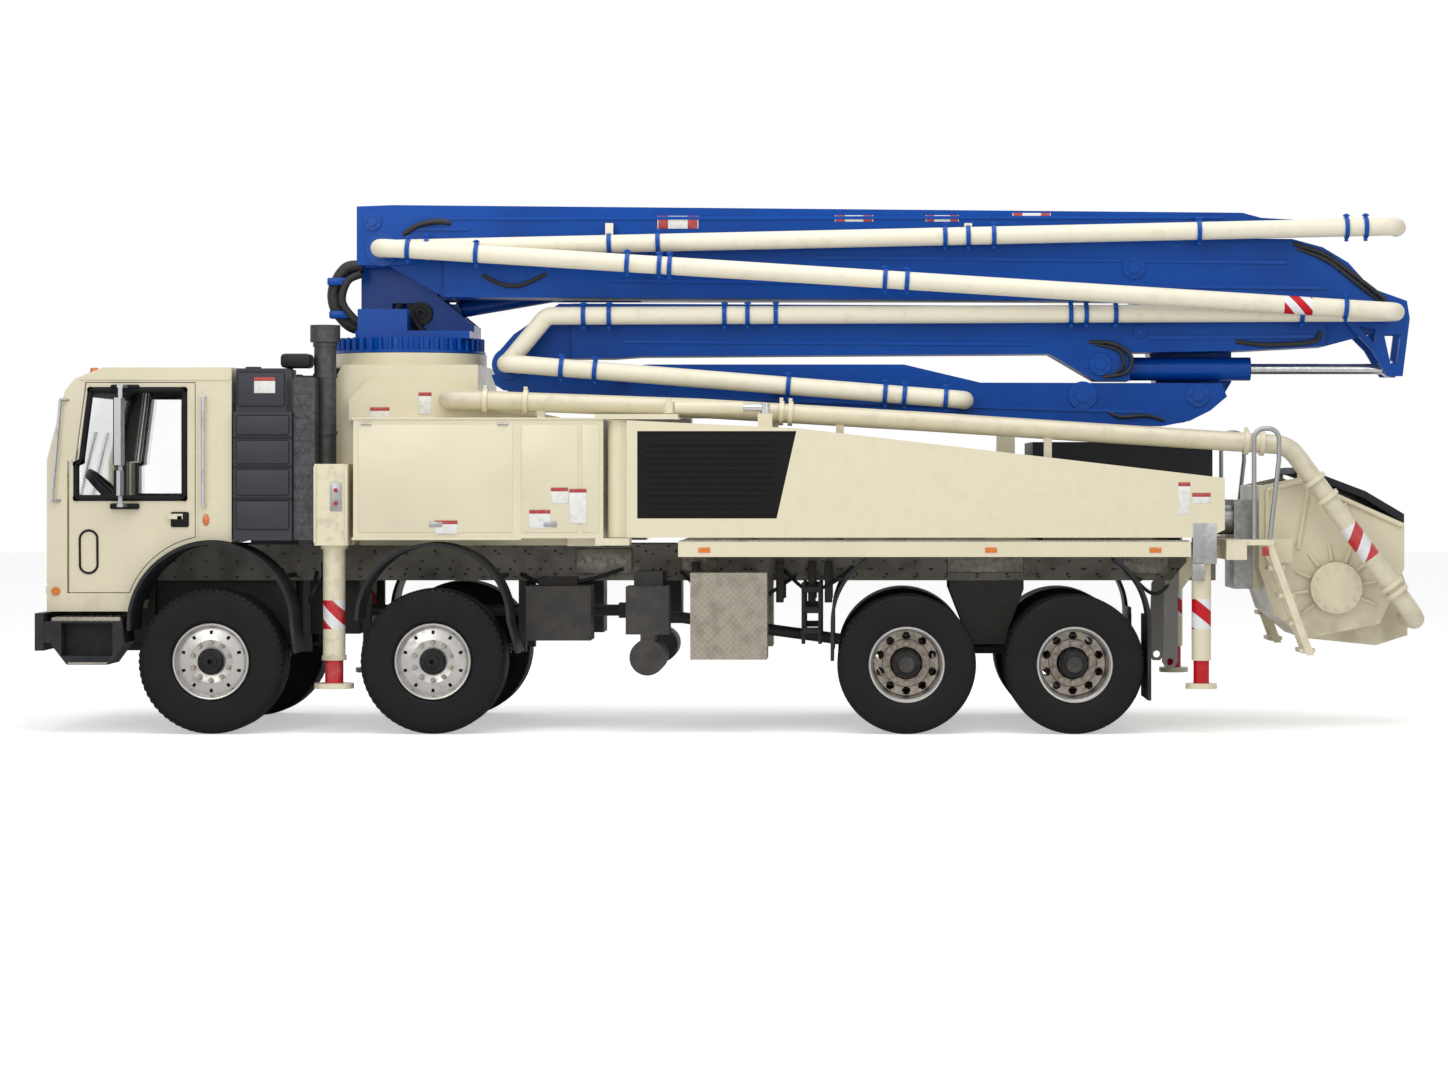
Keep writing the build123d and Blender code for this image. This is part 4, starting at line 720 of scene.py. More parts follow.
# Boom pipe clamps: blue bands round the ivory pipes with a bolted ear on top.
# Pressed steel halves, each bolted to its section's brackets.
clamps = (
    ("arm_5", -0.56, (-2.78, 3.74), (5.16, 3.915), (-2.42, -1.0, -0.62, 1.62, 1.8, 2.0, 3.6, 4.75, 4.9)),
    ("arm_4", -0.72, (-2.78, 3.74), (5.12, 3.243), (-2.55, -2.02, -0.85, -0.6, -0.52, 1.15, 1.32, 4.72)),
    ("arm_3", -0.56, (-1.487, 3.217), (5.12, 3.243), (-1.2, -1.0, -0.1, 0.08, 0.3, 2.6, 2.72, 2.95, 4.4)),
    ("arm_2", -0.72, (-1.797, 2.842), (1.77, 2.558), (-1.36, -1.1, 0.4, 1.15, 1.3, 1.62)),
)
for body, y, a, b, stations in clamps:
    made = bmesh.new()
    way = Vector((b[0] - a[0], 0, b[1] - a[1])).normalized()
    for x in stations:
        z = a[1] + (b[1] - a[1]) * (x - a[0]) / (b[0] - a[0])
        ring_mesh(made, (x, y, z), way, 0.084, 0.071, 0.034)
        box_mesh(made, (x - 0.014, y - 0.014, z + 0.078), (x + 0.014, y + 0.014, z + 0.108), 0.003)
        box_mesh(made, (x - 0.014, y - 0.014, z - 0.108), (x + 0.014, y + 0.014, z - 0.078), 0.003)
        rod_mesh(made, (x - 0.026, y, z + 0.094), (x + 0.026, y, z + 0.094), 0.007, 8)
    piece(f"pipe_clamps_{body}", made, blue, body, 30)

# Slewing ring bolts: a crown of ribs and nuts round the blue ring.
# Turned steel, painted with the turret.
made = bmesh.new()
for k in range(44):
    a = 2 * math.pi * k / 44
    at = Vector((-2.627 + 0.575 * math.cos(a), 0.575 * math.sin(a), 0))
    turn = Vector((math.cos(a), math.sin(a), 0))
    rod_mesh(made, at + Vector((0, 0, 2.95)), at + Vector((0, 0, 3.055)), 0.017, 10)
ring_mesh(made, (-2.627, 0, 2.945), (0, 0, 1), 0.60, 0.56, 0.02, 64)
piece("ring_bolts", made, blue, "turret", 30)

# Lamps: amber domes on the roof and cab side, amber and red markers along the rails.
# Moulded lenses screwed on.


def lens_look(tone):
    def look(place):
        facet = (noise(place, 90.0, 1.0)).over(0.4, 0.6)
        return {
            "Base Color": facet.mix(tone, tuple(c * 0.7 for c in tone[:3]) + (1.0,)),
            "Roughness": facet * 0.08 + 0.14,
            "Coat Weight": 0.6,
        }

    return look


amber = material("amber_lens", lens_look(colour(226, 120, 24)))
red_lens = material("red_lens", lens_look(colour(180, 24, 24)))
made = bmesh.new()
for s in (-1, 1):
    rod_mesh(made, (-4.93, s * 0.95, 2.755), (-4.93, s * 0.95, 2.80), 0.04, 20, 0.03)
    rod_mesh(made, (-5.18, s * 1.15, 1.09), (-5.18, s * 1.166, 1.09), 0.032, 20)
    box_mesh(made, (-4.060, s * 1.15, 1.608), (-4.010, s * 1.162, 1.658), 0.006)
    box_mesh(made, (-4.050, s * 1.15, 1.590), (-4.020, s * 1.156, 1.676), 0.004)
piece("cab_lamps", made, amber, "cab", 30)
made = bmesh.new()
for s in (-1, 1):
    for x in (-0.23, 1.95, 3.2):
        box_mesh(made, (x - 0.045, s * 1.24, 1.385), (x + 0.045, s * 1.244, 1.425), 0.001)
piece("side_markers", made, amber, "root", 30)
made = bmesh.new()
for s in (-1, 1):
    box_mesh(made, (4.02, s * 1.18, 1.36), (4.07, s * 1.188, 1.43), 0.002)
    box_mesh(made, (3.895, s * 0.95, 1.36), (3.908, s * 1.12, 1.44), 0.003)
piece("tail_lamps", made, red_lens, "root", 30)

# Cab trim: recessed door latch, oval hand-hold surround, black wiper arms and mirror backs.
# Moulded plastic parts screwed to the door skin.
for side, s in (("left", -1), ("right", 1)):
    made = bmesh.new()
    box_mesh(made, (-4.302, s * 1.148, 1.579), (-4.165, s * 1.165, 1.694), 0.012)
    box_mesh(made, (-4.255, s * 1.163, 1.600), (-4.212, s * 1.172, 1.668), 0.004)
    oval = []
    for k in range(25):
        turn = math.pi * k / 12
        rise = 0.095 if math.sin(turn) > 0 else -0.095
        oval.append((-4.93 + 0.068 * math.cos(turn), s * 1.153, 1.39 + rise + 0.068 * math.sin(turn)))
    for start, end in zip(oval, oval[1:]):
        rod_mesh(made, start, end, 0.009, 10)
    box_mesh(made, (-4.685, s * 1.295, 2.045), (-4.655, s * 1.436, 2.565), 0.01)
    box_mesh(made, (-4.68, s * 1.30, 1.815), (-4.655, s * 1.44, 2.015), 0.01)
    box_mesh(made, (-4.76, s * 1.15, 1.715), (-4.54, s * 1.20, 1.76), 0.012)
    box_mesh(made, (-4.76, s * 1.15, 2.635), (-4.54, s * 1.18, 2.665), 0.012)
    piece(f"door_trim_{side}", made, rubber, f"door_{side}", 35)

# Cab bright work: grab rails behind the doors and beside the windscreen.
# Polished tube on short feet.
made = bmesh.new()
for s in (-1, 1):
    rod_mesh(made, (-4.05, s * 1.205, 1.75), (-4.05, s * 1.205, 2.57), 0.014, 16)
    rod_mesh(made, (-5.135, s * 1.20, 2.55), (-5.20, s * 1.20, 1.78), 0.014, 16)
    for x, z in ((-4.05, 1.75), (-4.05, 2.57)):
        rod_mesh(made, (x, s * 1.148, z), (x, s * 1.21, z), 0.018, 12)
    for x, z in ((-5.135, 2.55), (-5.20, 1.78)):
        rod_mesh(made, (x + 0.05, s * 1.146, z), (x, s * 1.205, z), 0.013, 12)
piece("cab_grab_rails", made, chrome, "cab", 35)

# Cab front: black grille with bars, head lamps and indicators, rain gutter along the roof.
# Pressed panels and moulded lamps in the front wall.
made = bmesh.new()
box_mesh(made, (-5.262, -0.80, 1.02), (-5.248, 0.80, 1.62), 0.006)
for k in range(9):
    box_mesh(made, (-5.275, -0.78, 1.06 + 0.062 * k), (-5.255, 0.78, 1.082 + 0.062 * k), 0.004)
for y in (-0.45, 0.0, 0.45):
    rod_mesh(made, (-5.262, y, 1.76), (-5.19, y + 0.28, 2.32), 0.009, 8)
piece("cab_grille", made, rubber, "cab", 35)
made = bmesh.new()
for s in (-1, 1):
    rod_mesh(made, (-5.248, s * 0.98, 1.12), (-5.272, s * 0.98, 1.12), 0.085, 32)
    rod_mesh(made, (-5.272, s * 0.98, 1.12), (-5.280, s * 0.98, 1.12), 0.070, 32)
lamp_glass = material("lamp_glass", steel(colour(214, 218, 222), 0.08))
piece("head_lamps", made, lamp_glass, "cab", 35)
made = bmesh.new()
for s in (-1, 1):
    box_mesh(made, (-4.99, s * 1.145, 2.70), (-3.85, s * 1.158, 2.715), 0.003)
    box_mesh(made, (-4.10, s * 1.148, 1.50), (-4.092, s * 1.153, 2.70), 0.001)
piece("cab_gutters", made, cream, "cab", 35)

# Step treads of bright ribbed aluminium on the step boxes.
# Folded strips riveted over the plastic.
made = bmesh.new()
for s in (-1, 1):
    for low, high in (((-5.19, 1.225, 0.865), (-4.67, 1.243, 0.893)), ((-5.07, 1.225, 0.532), (-4.77, 1.243, 0.552))):
        box_mesh(made, (low[0], s * low[1], low[2]), (high[0], s * high[1], high[2]), 0.003)
    for k in range(10):
        box_mesh(made, (-5.17 + 0.05 * k, s * 0.90, 0.888), (-5.14 + 0.05 * k, s * 1.22, 0.896), 0.002)
piece("step_treads", made, tread_plate, "root", 35)

# Tanks behind the cab: moulded ribs, straps and a cap.
# Blow-moulded shell in black with two steel straps.
made = bmesh.new()
for s in (-1, 1):
    for z, half in ((1.67, 0.11), (1.92, 0.10), (2.15, 0.09), (2.355, 0.075)):
        box_mesh(made, (-3.80, s * 1.182, z - half), (-3.395, s * 1.202, z + half), 0.016)
    box_mesh(made, (-3.79, s * 1.178, 2.50), (-3.43, s * 1.196, 2.76), 0.015)
    rod_mesh(made, (-3.70, s * 1.0, 2.785), (-3.70, s * 1.0, 2.805), 0.06, 24)
piece("tank_ribs", made, dark_tank, "root", 35)
made = bmesh.new()
for s in (-1, 1):
    for z in (1.795, 2.04, 2.262):
        box_mesh(made, (-3.822, s * 1.186, z - 0.010), (-3.373, s * 1.196, z + 0.010), 0.002)
    box_mesh(made, (-3.47, s * 0.82, 2.70), (-3.42, s * 0.88, 2.80), 0.01)
    box_mesh(made, (-3.50, s * 0.74, 2.80), (-3.27, s * 0.98, 2.91), 0.03)
piece("tank_straps", made, black, "root", 35)

# Silencer guard: pierced strips beside the stack, and the bands round the stack.
made = bmesh.new()
for z in range(12):
    for x in (-3.345, -3.30, -3.255):
        box_mesh(made, (x - 0.014, -1.156, 1.60 + 0.09 * z), (x + 0.014, -1.148, 1.635 + 0.09 * z), 0.002)
for z in (2.30, 2.74, 2.98):
    ring_mesh(made, (-3.17, -0.86, z), (0, 0, 1), 0.094, 0.084, 0.03, 40)
piece("silencer_guard", made, silencer, "root", 35)

# Front outrigger controls: a grey plate with two red knobs, side flanges and bolts.
# Bolted to each end box.
for s in (-1, 1):
    made, knobs, flanges = bmesh.new(), bmesh.new(), bmesh.new()
    box_mesh(made, (-3.075, s * 1.238, 1.70), (-2.985, s * 1.246, 1.92), 0.004)
    for z in (1.76, 1.86):
        rod_mesh(knobs, (-3.03, s * 1.243, z), (-3.03, s * 1.266, z), 0.017, 16)
    for x in (-3.19, -2.95):
        box_mesh(flanges, (x - 0.008, s * 1.236, 1.46), (x + 0.008, s * 1.262, 2.04), 0.003)
    for z in (1.50, 1.60, 1.99):
        rod_mesh(flanges, (-3.09, s * 1.238, z), (-3.09, s * 1.252, z), 0.012, 6)
    ring_mesh(flanges, (-3.066, s * 1.09, 1.425), (0, 0, 1), 0.10, 0.084, 0.03, 40)
    ring_mesh(flanges, (-3.066, s * 1.09, 0.58), (0, 0, 1), 0.094, 0.084, 0.036, 40)
    side = "left" if s < 0 else "right"
    piece(f"outrigger_panel_{side}", made, bare, f"front_beam_{side}", 35)
    piece(f"outrigger_knobs_{side}", knobs, red_lens, f"front_beam_{side}", 35)
    piece(f"outrigger_flanges_{side}", flanges, cream, f"front_beam_{side}", 35)

# Cabinet doors: raised panels with a rolled edge, flush latches and hinges.
# Pressed steel sheet on a welded frame.
made = bmesh.new()
latches = bmesh.new()
for s in (-1, 1):
    for x0, x1 in ((-2.86, -1.69), (-1.62, -1.19), (-1.16, -1.03)):
        box_mesh(made, (x0, s * 1.238, 1.54), (x1, s * 1.247, 2.36), 0.004)
    box_mesh(made, (-2.91, s * 1.20, 2.398), (-1.00, s * 1.252, 2.412), 0.003)
    box_mesh(made, (-2.91, s * 1.236, 1.482), (-1.62, s * 1.250, 1.50), 0.003)
    for x in (-2.27, -1.40):
        box_mesh(latches, (x - 0.05, s * 1.246, 1.58), (x + 0.05, s * 1.256, 1.62), 0.004)
    for x in (-2.80, -1.76):
        rod_mesh(latches, (x - 0.04, s * 1.25, 2.362), (x + 0.04, s * 1.25, 2.362), 0.008, 10)
piece("cabinet_doors", made, cream, "root", 35)
piece("cabinet_latches", latches, bare, "root", 35)

# Blank plates where the body carries notices: plain white and plain red sheets.
# Thin painted sheet, riveted, nothing on it.


def sheet_look(tone):
    def look(place):
        rub = noise(place, 30.0, 4.0).over(0.4, 0.7)
        return {
            "Base Color": (rub * 0.25).mix(tone, colour(150, 146, 138)),
            "Roughness": rub * 0.2 + 0.4,
            "Coat Weight": 0.2,
        }

    return look


white_sheet = material("white_sheet", sheet_look(colour(226, 226, 222)))
red_sheet = material("red_sheet", sheet_look(colour(168, 40, 40)))
root_plates = (
    (-2.76, 2.455, 0.15, 0.09, 0.782), (-2.41, 2.53, 0.10, 0.17, 0.782), (-2.19, 1.58, 0.17, 0.10, 1.249),
    (-1.48, 1.64, 0.16, 0.14, 1.249), (-1.33, 1.82, 0.13, 0.12, 1.249), (-1.19, 1.74, 0.13, 0.26, 1.249),
    (-3.58, 2.66, 0.16, 0.12, 1.1975), (-2.26, 2.52, 0.06, 0.06, 0.782),
)
made = bmesh.new()
heads = bmesh.new()
for x, z, w, h, y in root_plates:
    box_mesh(made, (x - w / 2, -y - 0.002, z - h / 2), (x + w / 2, -y + 0.001, z + h / 2), 0.001)
    box_mesh(heads, (x - w / 2, -y - 0.003, z + h / 2 - 0.028), (x + w / 2, -y + 0.001, z + h / 2), 0.001)
piece("blank_plates", made, white_sheet, "root", 35)
piece("blank_plate_heads", heads, red_sheet, "root", 35)
made = bmesh.new()
heads = bmesh.new()
for x, z, w, h in ((3.42, 1.80, 0.09, 0.24), (3.55, 1.80, 0.14, 0.08)):
    box_mesh(made, (x - w / 2, -1.243, z - h / 2), (x + w / 2, -1.239, z + h / 2), 0.001)
    box_mesh(heads, (x - w / 2, -1.244, z + h / 2 - 0.03), (x + w / 2, -1.239, z + h / 2), 0.001)
piece("blank_plates_beam", made, white_sheet, "rear_beam_left", 35)
made = bmesh.new()
box_mesh(made, (3.485, -1.243, 1.30), (3.667, -1.237, 1.61), 0.003)
box_mesh(made, (3.485, -1.243, 1.17), (3.575, -1.237, 1.31), 0.003)
piece("leg_plate_left", made, bare, "rear_beam_left", 35)
piece("blank_plate_heads_beam", heads, red_sheet, "rear_beam_left", 35)
made = bmesh.new()
heads = bmesh.new()
boom_plates = (
    (-0.47, 3.955, 0.32, 0.10), (0.91, 3.985, 0.30, 0.05), (1.60, 3.985, 0.26, 0.05),
    (2.30, 4.005, 0.30, 0.045),
)
for x, z, w, h in boom_plates:
    box_mesh(made, (x - w / 2, -0.463, z - h / 2), (x + w / 2, -0.459, z + h / 2), 0.001)
    for end in (-0.36, 0.36):
        box_mesh(heads, (x + w * (end - 0.12), -0.464, z - h / 2), (x + w * (end + 0.12), -0.459, z + h / 2), 0.001)
piece("blank_plates_boom", made, white_sheet, "arm_5", 35)
piece("blank_plate_ends_boom", heads, red_sheet, "arm_5", 35)

# Boom stiffeners: long flats, boss rings and pin caps welded to the section sides.
# Cut plate, painted with the boom.
ribs = {
    "arm_5": (((-2.40, 3.985), (3.80, 3.995)), ((-2.60, 3.90), (-2.10, 3.90))),
    "arm_4": (((-1.00, 3.50), (4.60, 3.44)), ((0.60, 3.68), (4.30, 3.64))),
    "arm_3": (((-0.90, 3.02), (2.30, 3.00)), ((3.20, 3.05), (4.50, 3.06))),
    "arm_2": (((-0.90, 2.60), (3.20, 2.47)),),
}
caps = {
    "arm_5": ((-2.78, 3.74, 0.13), (-2.86, 3.96, 0.07)), "arm_4": ((5.12, 3.243, 0.10), (3.10, 3.60, 0.09)),
    "arm_3": ((2.837, 2.842, 0.085), (3.15, 3.10, 0.05)),
    "arm_2": ((-1.797, 2.842, 0.12), (3.60, 2.60, 0.09), (2.70, 2.60, 0.11)),
}
for body in ribs:
    made = bmesh.new()
    for (x0, z0), (x1, z1) in ribs[body]:
        low = Vector((x0, -0.466, z0))
        way = Vector((x1 - x0, 0, z1 - z0))
        across = Vector((-way.z, 0, way.x)).normalized() * 0.012
        corners = []
        for y in (-0.455, -0.470):
            for end in (0, 1):
                for t in (-1, 1):
                    p = low + way * end + across * t
                    corners.append(made.verts.new((p.x, y, p.z)))
        a = corners
        for face in ((0, 1, 3, 2), (4, 6, 7, 5), (0, 2, 6, 4), (1, 5, 7, 3), (0, 4, 5, 1), (2, 3, 7, 6)):
            made.faces.new([a[k] for k in face])
    for x, z, r in caps[body]:
        rod_mesh(made, (x, -0.455, z), (x, -0.474, z), r, 40)
        rod_mesh(made, (x, -0.455, z), (x, -0.484, z), r * 0.5, 28)
        for k in range(6):
            t = math.pi * k / 3
            at = (x + r * 0.75 * math.cos(t), z + r * 0.75 * math.sin(t))
            rod_mesh(made, (at[0], -0.47, at[1]), (at[0], -0.482, at[1]), 0.009, 6)
    piece(f"stiffeners_{body}", made, blue, body, 30)

# Hoses: black rubber runs at the turret, along the boom and round the folding ram.
# Ribbed rubber with woven sleeves, tied at both ends to the piece they ride on.


def hose_look(place):
    x, y, z = axes(place)
    weave = ((x + z + y) * 900.0).math("SINE")
    rub = noise(place, 20.0, 4.0).over(0.4, 0.7)
    return {
        "Base Color": (rub * 0.4).mix(colour(24, 24, 26), colour(58, 56, 54)),
        "Roughness": rub * 0.2 + 0.5,
        "Normal": bumped(weave, 0.35, 0.0015),
    }


hose_rubber = material("hose_rubber", hose_look)
runs = {
    "turret": (
        (0.055, (
            (-2.97, -0.22, 3.62), (-3.10, -0.22, 3.60), (-3.19, -0.22, 3.45), (-3.18, -0.22, 3.30),
            (-3.08, -0.22, 3.17), (-2.97, -0.22, 3.13),
        )),
        (0.03, ((-2.97, -0.30, 3.56), (-3.08, -0.30, 3.50), (-3.12, -0.30, 3.34), (-3.02, -0.30, 3.20), (-2.95, -0.30, 3.16))),
        (0.03, ((-2.70, -0.06, 3.33), (-2.72, -0.10, 3.25), (-2.66, -0.10, 3.17), (-2.60, -0.10, 3.10))),
        (0.028, ((-2.62, -0.06, 3.33), (-2.60, -0.09, 3.24), (-2.55, -0.10, 3.16), (-2.50, -0.10, 3.10))),
    ),
    "arm_4": (
        (0.016, ((-2.00, -0.455, 3.54), (-1.85, -0.48, 3.47), (-1.70, -0.48, 3.46), (-1.50, -0.455, 3.55))),
        (0.018, ((4.35, -0.455, 3.79), (4.60, -0.475, 3.70), (4.85, -0.478, 3.52), (5.04, -0.475, 3.37), (5.08, -0.455, 3.30))),
        (0.016, ((4.38, -0.455, 3.75), (4.62, -0.48, 3.65), (4.84, -0.48, 3.48), (5.02, -0.455, 3.34))),
    ),
    "arm_3": (
        (0.016, ((2.75, -0.455, 3.02), (2.95, -0.48, 3.00), (3.08, -0.485, 2.90), (3.04, -0.485, 2.78), (2.86, -0.455, 2.74))),
        (0.013, ((2.80, -0.455, 3.00), (2.98, -0.48, 2.95), (3.02, -0.485, 2.84), (2.95, -0.455, 2.76))),
        (0.018, ((3.90, -0.455, 3.02), (4.15, -0.48, 2.995), (4.50, -0.48, 3.02), (4.56, -0.455, 3.10))),
    ),
    "arm_5": ((0.022, ((-2.62, -0.455, 3.86), (-2.50, -0.475, 3.93), (-2.35, -0.478, 3.96), (-2.25, -0.455, 3.95))),),
    "arm_2": ((0.014, ((2.90, -0.455, 2.47), (3.00, -0.475, 2.43), (3.20, -0.475, 2.44), (3.34, -0.455, 2.40))),),
    "root": (
        (0.016, ((-1.70, -0.45, 1.20), (-1.50, -0.55, 1.13), (-1.20, -0.56, 1.15), (-0.90, -0.45, 1.24))),
        (0.014, ((-0.45, -0.45, 1.22), (-0.20, -0.60, 1.02), (0.10, -0.62, 0.98), (0.45, -0.45, 1.18))),
        (0.014, ((0.35, -0.45, 1.24), (0.55, -0.58, 1.08), (0.75, -0.55, 1.14), (0.90, -0.45, 1.26))),
        (0.016, ((-3.25, -0.45, 1.28), (-3.20, -0.80, 1.18), (-3.26, -0.92, 1.06), (-3.32, -0.60, 0.98), (-3.30, -0.45, 1.22))),
        (0.014, ((3.05, -0.45, 1.22), (3.25, -0.60, 1.05), (3.45, -0.55, 1.20), (3.60, -0.45, 1.26))),
    ),
}
for body in runs:
    made = bmesh.new()
    for radius, points in runs[body]:
        hose_mesh(made, points, radius)
    piece(f"hoses_{body}", made, hose_rubber, body, 60)
made = bmesh.new()
ring_mesh(made, (-2.53, -0.075, 3.26), (0, 1, 0), 0.09, 0.05, 0.04, 32)
ring_mesh(made, (-2.53, -0.075, 3.26), (0, 1, 0), 0.045, 0.02, 0.05, 24)
piece("hose_reel", made, hub_black, "turret", 30)
made = bmesh.new()
for z, x in ((3.50, -3.165), (3.24, -3.15)):
    box_mesh(made, (x - 0.075, -0.31, z - 0.03), (x + 0.075, -0.15, z + 0.03), 0.01)
piece("hose_clamps", made, blue, "turret", 30)

# Delivery line clamps and outlet flanges: cream pairs of collars bolted round the tube.
# Forged halves.
made = bmesh.new()
line_y = -0.90
route = ((-1.961, 2.551), (-0.273, 2.490), (1.415, 2.390), (4.254, 2.206))
for x in (-1.93, -1.62, 0.35, 0.42, 3.93, 4.05):
    for (x0, z0), (x1, z1) in zip(route, route[1:]):
        if x0 <= x <= x1:
            z = z0 + (z1 - z0) * (x - x0) / (x1 - x0)
            ring_mesh(made, (x, line_y, z), (x1 - x0, 0, z1 - z0), 0.095, 0.076, 0.035)
            box_mesh(made, (x - 0.015, line_y - 0.015, z + 0.088), (x + 0.015, line_y + 0.015, z + 0.118), 0.004)
low, high = Vector((4.254, line_y, 2.206)), Vector((5.245, line_y, 0.86))
for t in (0.20, 0.30, 0.80, 0.84):
    at = low.lerp(high, t)
    ring_mesh(made, at, high - low, 0.098, 0.076, 0.035)
piece("line_clamps", made, cream, "root", 30)

# Hopper stiffeners: fan ribs, bearing ring, rim flats and bolts on both sides.
# Cut plate welded to the hopper walls.
made = bmesh.new()
for s in (-1, 1):
    ring_mesh(made, (4.65, s * 0.70, 1.10), (0, 1, 0), 0.20, 0.13, 0.06)
    for a in range(0, 360, 30):
        t = math.radians(a + 8)
        if a in (270, 240, 300):
            continue
        p = (4.65 + 0.21 * math.cos(t), s * 0.66, 1.10 + 0.21 * math.sin(t))
        q = (4.65 + 0.34 * math.cos(t), s * 0.648, 1.10 + 0.34 * math.sin(t))
        rod_mesh(made, p, q, 0.013, 8)
    for k in range(12):
        t = math.pi * k / 6
        x, z = 4.65 + 0.165 * math.cos(t), 1.10 + 0.165 * math.sin(t)
        rod_mesh(made, (x, s * 0.73, z), (x, s * 0.745, z), 0.012, 6)
    for a, b in (((4.12, 1.86), (4.40, 1.93)), ((4.40, 1.93), (5.17, 1.58)), ((4.12, 1.30), (4.12, 1.86)), ((4.36, 1.40), (4.44, 1.88)), ((4.85, 1.40), (4.72, 1.76))):
        rod_mesh(made, (a[0], s * 0.652, a[1]), (b[0], s * 0.652, b[1]), 0.018, 10)
piece("hopper_ribs", made, cream, "root", 30)
made = bmesh.new()
for y in range(-5, 6):
    rod_mesh(made, (4.13, 0.1 * y, 1.86), (4.38, 0.1 * y, 1.93), 0.009, 8)
    rod_mesh(made, (4.38, 0.1 * y, 1.93), (5.13, 0.1 * y, 1.595), 0.009, 8)
for x, z in ((4.25, 1.893), (4.60, 1.832), (4.85, 1.72)):
    rod_mesh(made, (x, -0.62, z), (x, 0.62, z), 0.009, 8)
piece("hopper_grate", made, chassis, "root", 30)

# Walkway edge: bright strip along the deck, over the cream side rail.
# Folded aluminium.
made = bmesh.new()
for s in (-1, 1):
    box_mesh(made, (-0.42, s * 1.10, 1.469), (3.46, s * 1.2425, 1.479), 0.002)
piece("deck_edge", made, tread_plate, "root", 30)

# Rear frame finish: cream ladder and beam, grey tube hoops, dark towing links.
# Tube and cut plate.


def rear_frame_look(place):
    x, y, z = axes(place)
    grime = noise(place, 9.0, 6.0).over(0.42, 0.7)
    tube_part = z.over(1.4825, 1.4835)
    link = 1.0 - x.over(3.44, 3.442)
    tone = tube_part.mix(CREAM, colour(158, 158, 160))
    tone = link.mix(tone, colour(132, 130, 128))
    return {
        "Base Color": (grime * 0.25).mix(tone, ROAD_DUST),
        "Roughness": grime * 0.2 + 0.32,
        "Metallic": tube_part * 0.7,
        "Normal": bumped(noise(place, 120.0, 2.0), 0.25, 0.0008),
    }


repaint(["rear_frame"], material("rear_frame_skin", rear_frame_look))

# Chassis bolts: rivet heads along both rails, brake chambers and air bottles.
# Forged and pressed steel, painted with the chassis.
made = bmesh.new()
for s in (-1, 1):
    for k in range(58):
        x = -3.20 + 0.118 * k
        for z in (1.20, 1.38) if k % 2 else (1.24,):
            rod_mesh(made, (x, s * 0.428, z), (x, s * 0.438, z), 0.012, 6)
    for x in (-0.36, 0.30, 0.55, 0.68):
        box_mesh(made, (x, s * 0.43, 0.98), (x + 0.06, s * 0.55, 1.30), 0.006)
    for z in (0.74, 0.90, 1.06):
        box_mesh(made, (0.50, s * 0.60, z), (0.66, s * 0.64, z + 0.05), 0.01)
    box_mesh(made, (0.50, s * 0.55, 0.66), (0.53, s * 0.62, 1.14), 0.004)
    box_mesh(made, (0.63, s * 0.55, 0.66), (0.66, s * 0.62, 1.14), 0.004)
piece("chassis_bolts", made, chassis, "root", 30)
rail_plate = material("bracket_grey", steel(colour(150, 145, 136), 0.5, colour(98, 92, 82)))
made = bmesh.new()
for s in (-1, 1):
    for x, half, low, high in (
        (1.94, 0.30, 1.21, 1.40), (-1.05, 0.22, 1.20, 1.40), (-0.30, 0.14, 1.22, 1.40), (3.20, 0.18, 1.20, 1.40),
    ):
        box_mesh(made, (x - half, s * 0.43, low), (x + half, s * 0.446, high), 0.01)
        for at in (-0.75, -0.3, 0.3, 0.75):
            rod_mesh(made, (x + half * at, s * 0.446, (low + high) / 2), (x + half * at, s * 0.462, (low + high) / 2), 0.017, 6)
piece("bracket_plates", made, rail_plate, "root", 30)

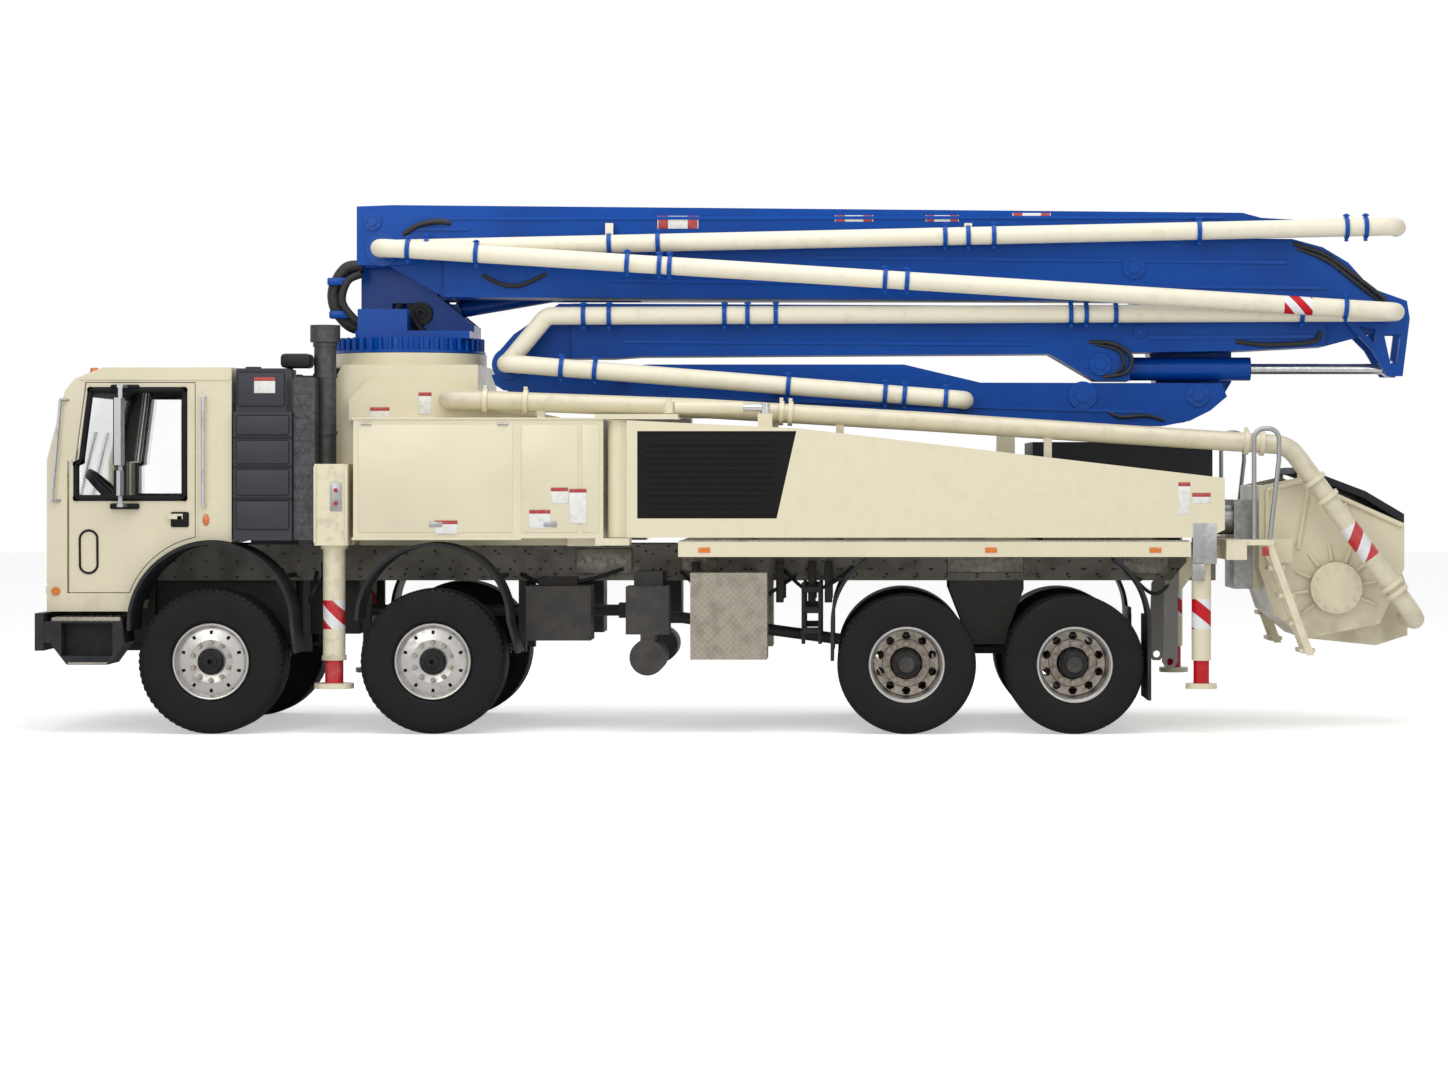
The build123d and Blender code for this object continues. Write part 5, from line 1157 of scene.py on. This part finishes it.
# Camera and light: seen square from the left, far off, under a soft white studio sky.
# One broad light above and one low in front fill the shadows.
scene = bpy.context.scene
eye = bpy.data.cameras.new("camera")
camera = bpy.data.objects.new("camera", eye)
scene.collection.objects.link(camera)
camera.location = (0.878, -27.25, 1.976)
camera.rotation_euler = (math.radians(90), 0, 0)
eye.sensor_width = 36.0
eye.lens = 36.0 * 26000 / (1448 * 7.6)
eye.shift_x = (724 - 850) / 1448
eye.shift_y = (475 - 543) / 1448
eye.clip_end = 200.0
scene.camera = camera
for name, place, aim, size, power in (
    ("overhead", (0.0, -4.0, 11.0), (0.0, 0.0, 1.5), 12.0, 900.0),
    ("front_fill", (-7.0, -14.0, 7.0), (0.0, 0.0, 1.6), 7.0, 330.0),
    ("rear_fill", (9.0, -13.0, 6.0), (1.0, 0.0, 1.8), 7.0, 170.0),
):
    lamp = bpy.data.lights.new(name, "AREA")
    lamp.shape = "SQUARE"
    lamp.size = size
    lamp.energy = power
    item = bpy.data.objects.new(name, lamp)
    item.location = place
    item.rotation_euler = (Vector(aim) - Vector(place)).to_track_quat("-Z", "Y").to_euler()
    scene.collection.objects.link(item)
world = bpy.data.worlds.new("studio")
scene.world = world
world.use_nodes = True
tree = world.node_tree
sky = tree.nodes["Background"]
sky.inputs["Color"].default_value = (1.0, 1.0, 1.0, 1.0)
sky.inputs["Strength"].default_value = 0.5
white = tree.nodes.new("ShaderNodeBackground")
white.inputs["Color"].default_value = (1.0, 1.0, 1.0, 1.0)
white.inputs["Strength"].default_value = 1.0
ray = tree.nodes.new("ShaderNodeLightPath")
seen = Value(tree, ray.outputs["Is Camera Ray"]) + Value(tree, ray.outputs["Is Glossy Ray"])
seen = seen.math("ADD", Value(tree, ray.outputs["Is Transmission Ray"]), clamp=True)
choose = tree.nodes.new("ShaderNodeMixShader")
tree.links.new(seen.socket, choose.inputs[0])
tree.links.new(sky.outputs[0], choose.inputs[1])
tree.links.new(white.outputs[0], choose.inputs[2])
tree.links.new(choose.outputs[0], tree.nodes["World Output"].inputs["Surface"])
scene.view_settings.view_transform = "Standard"
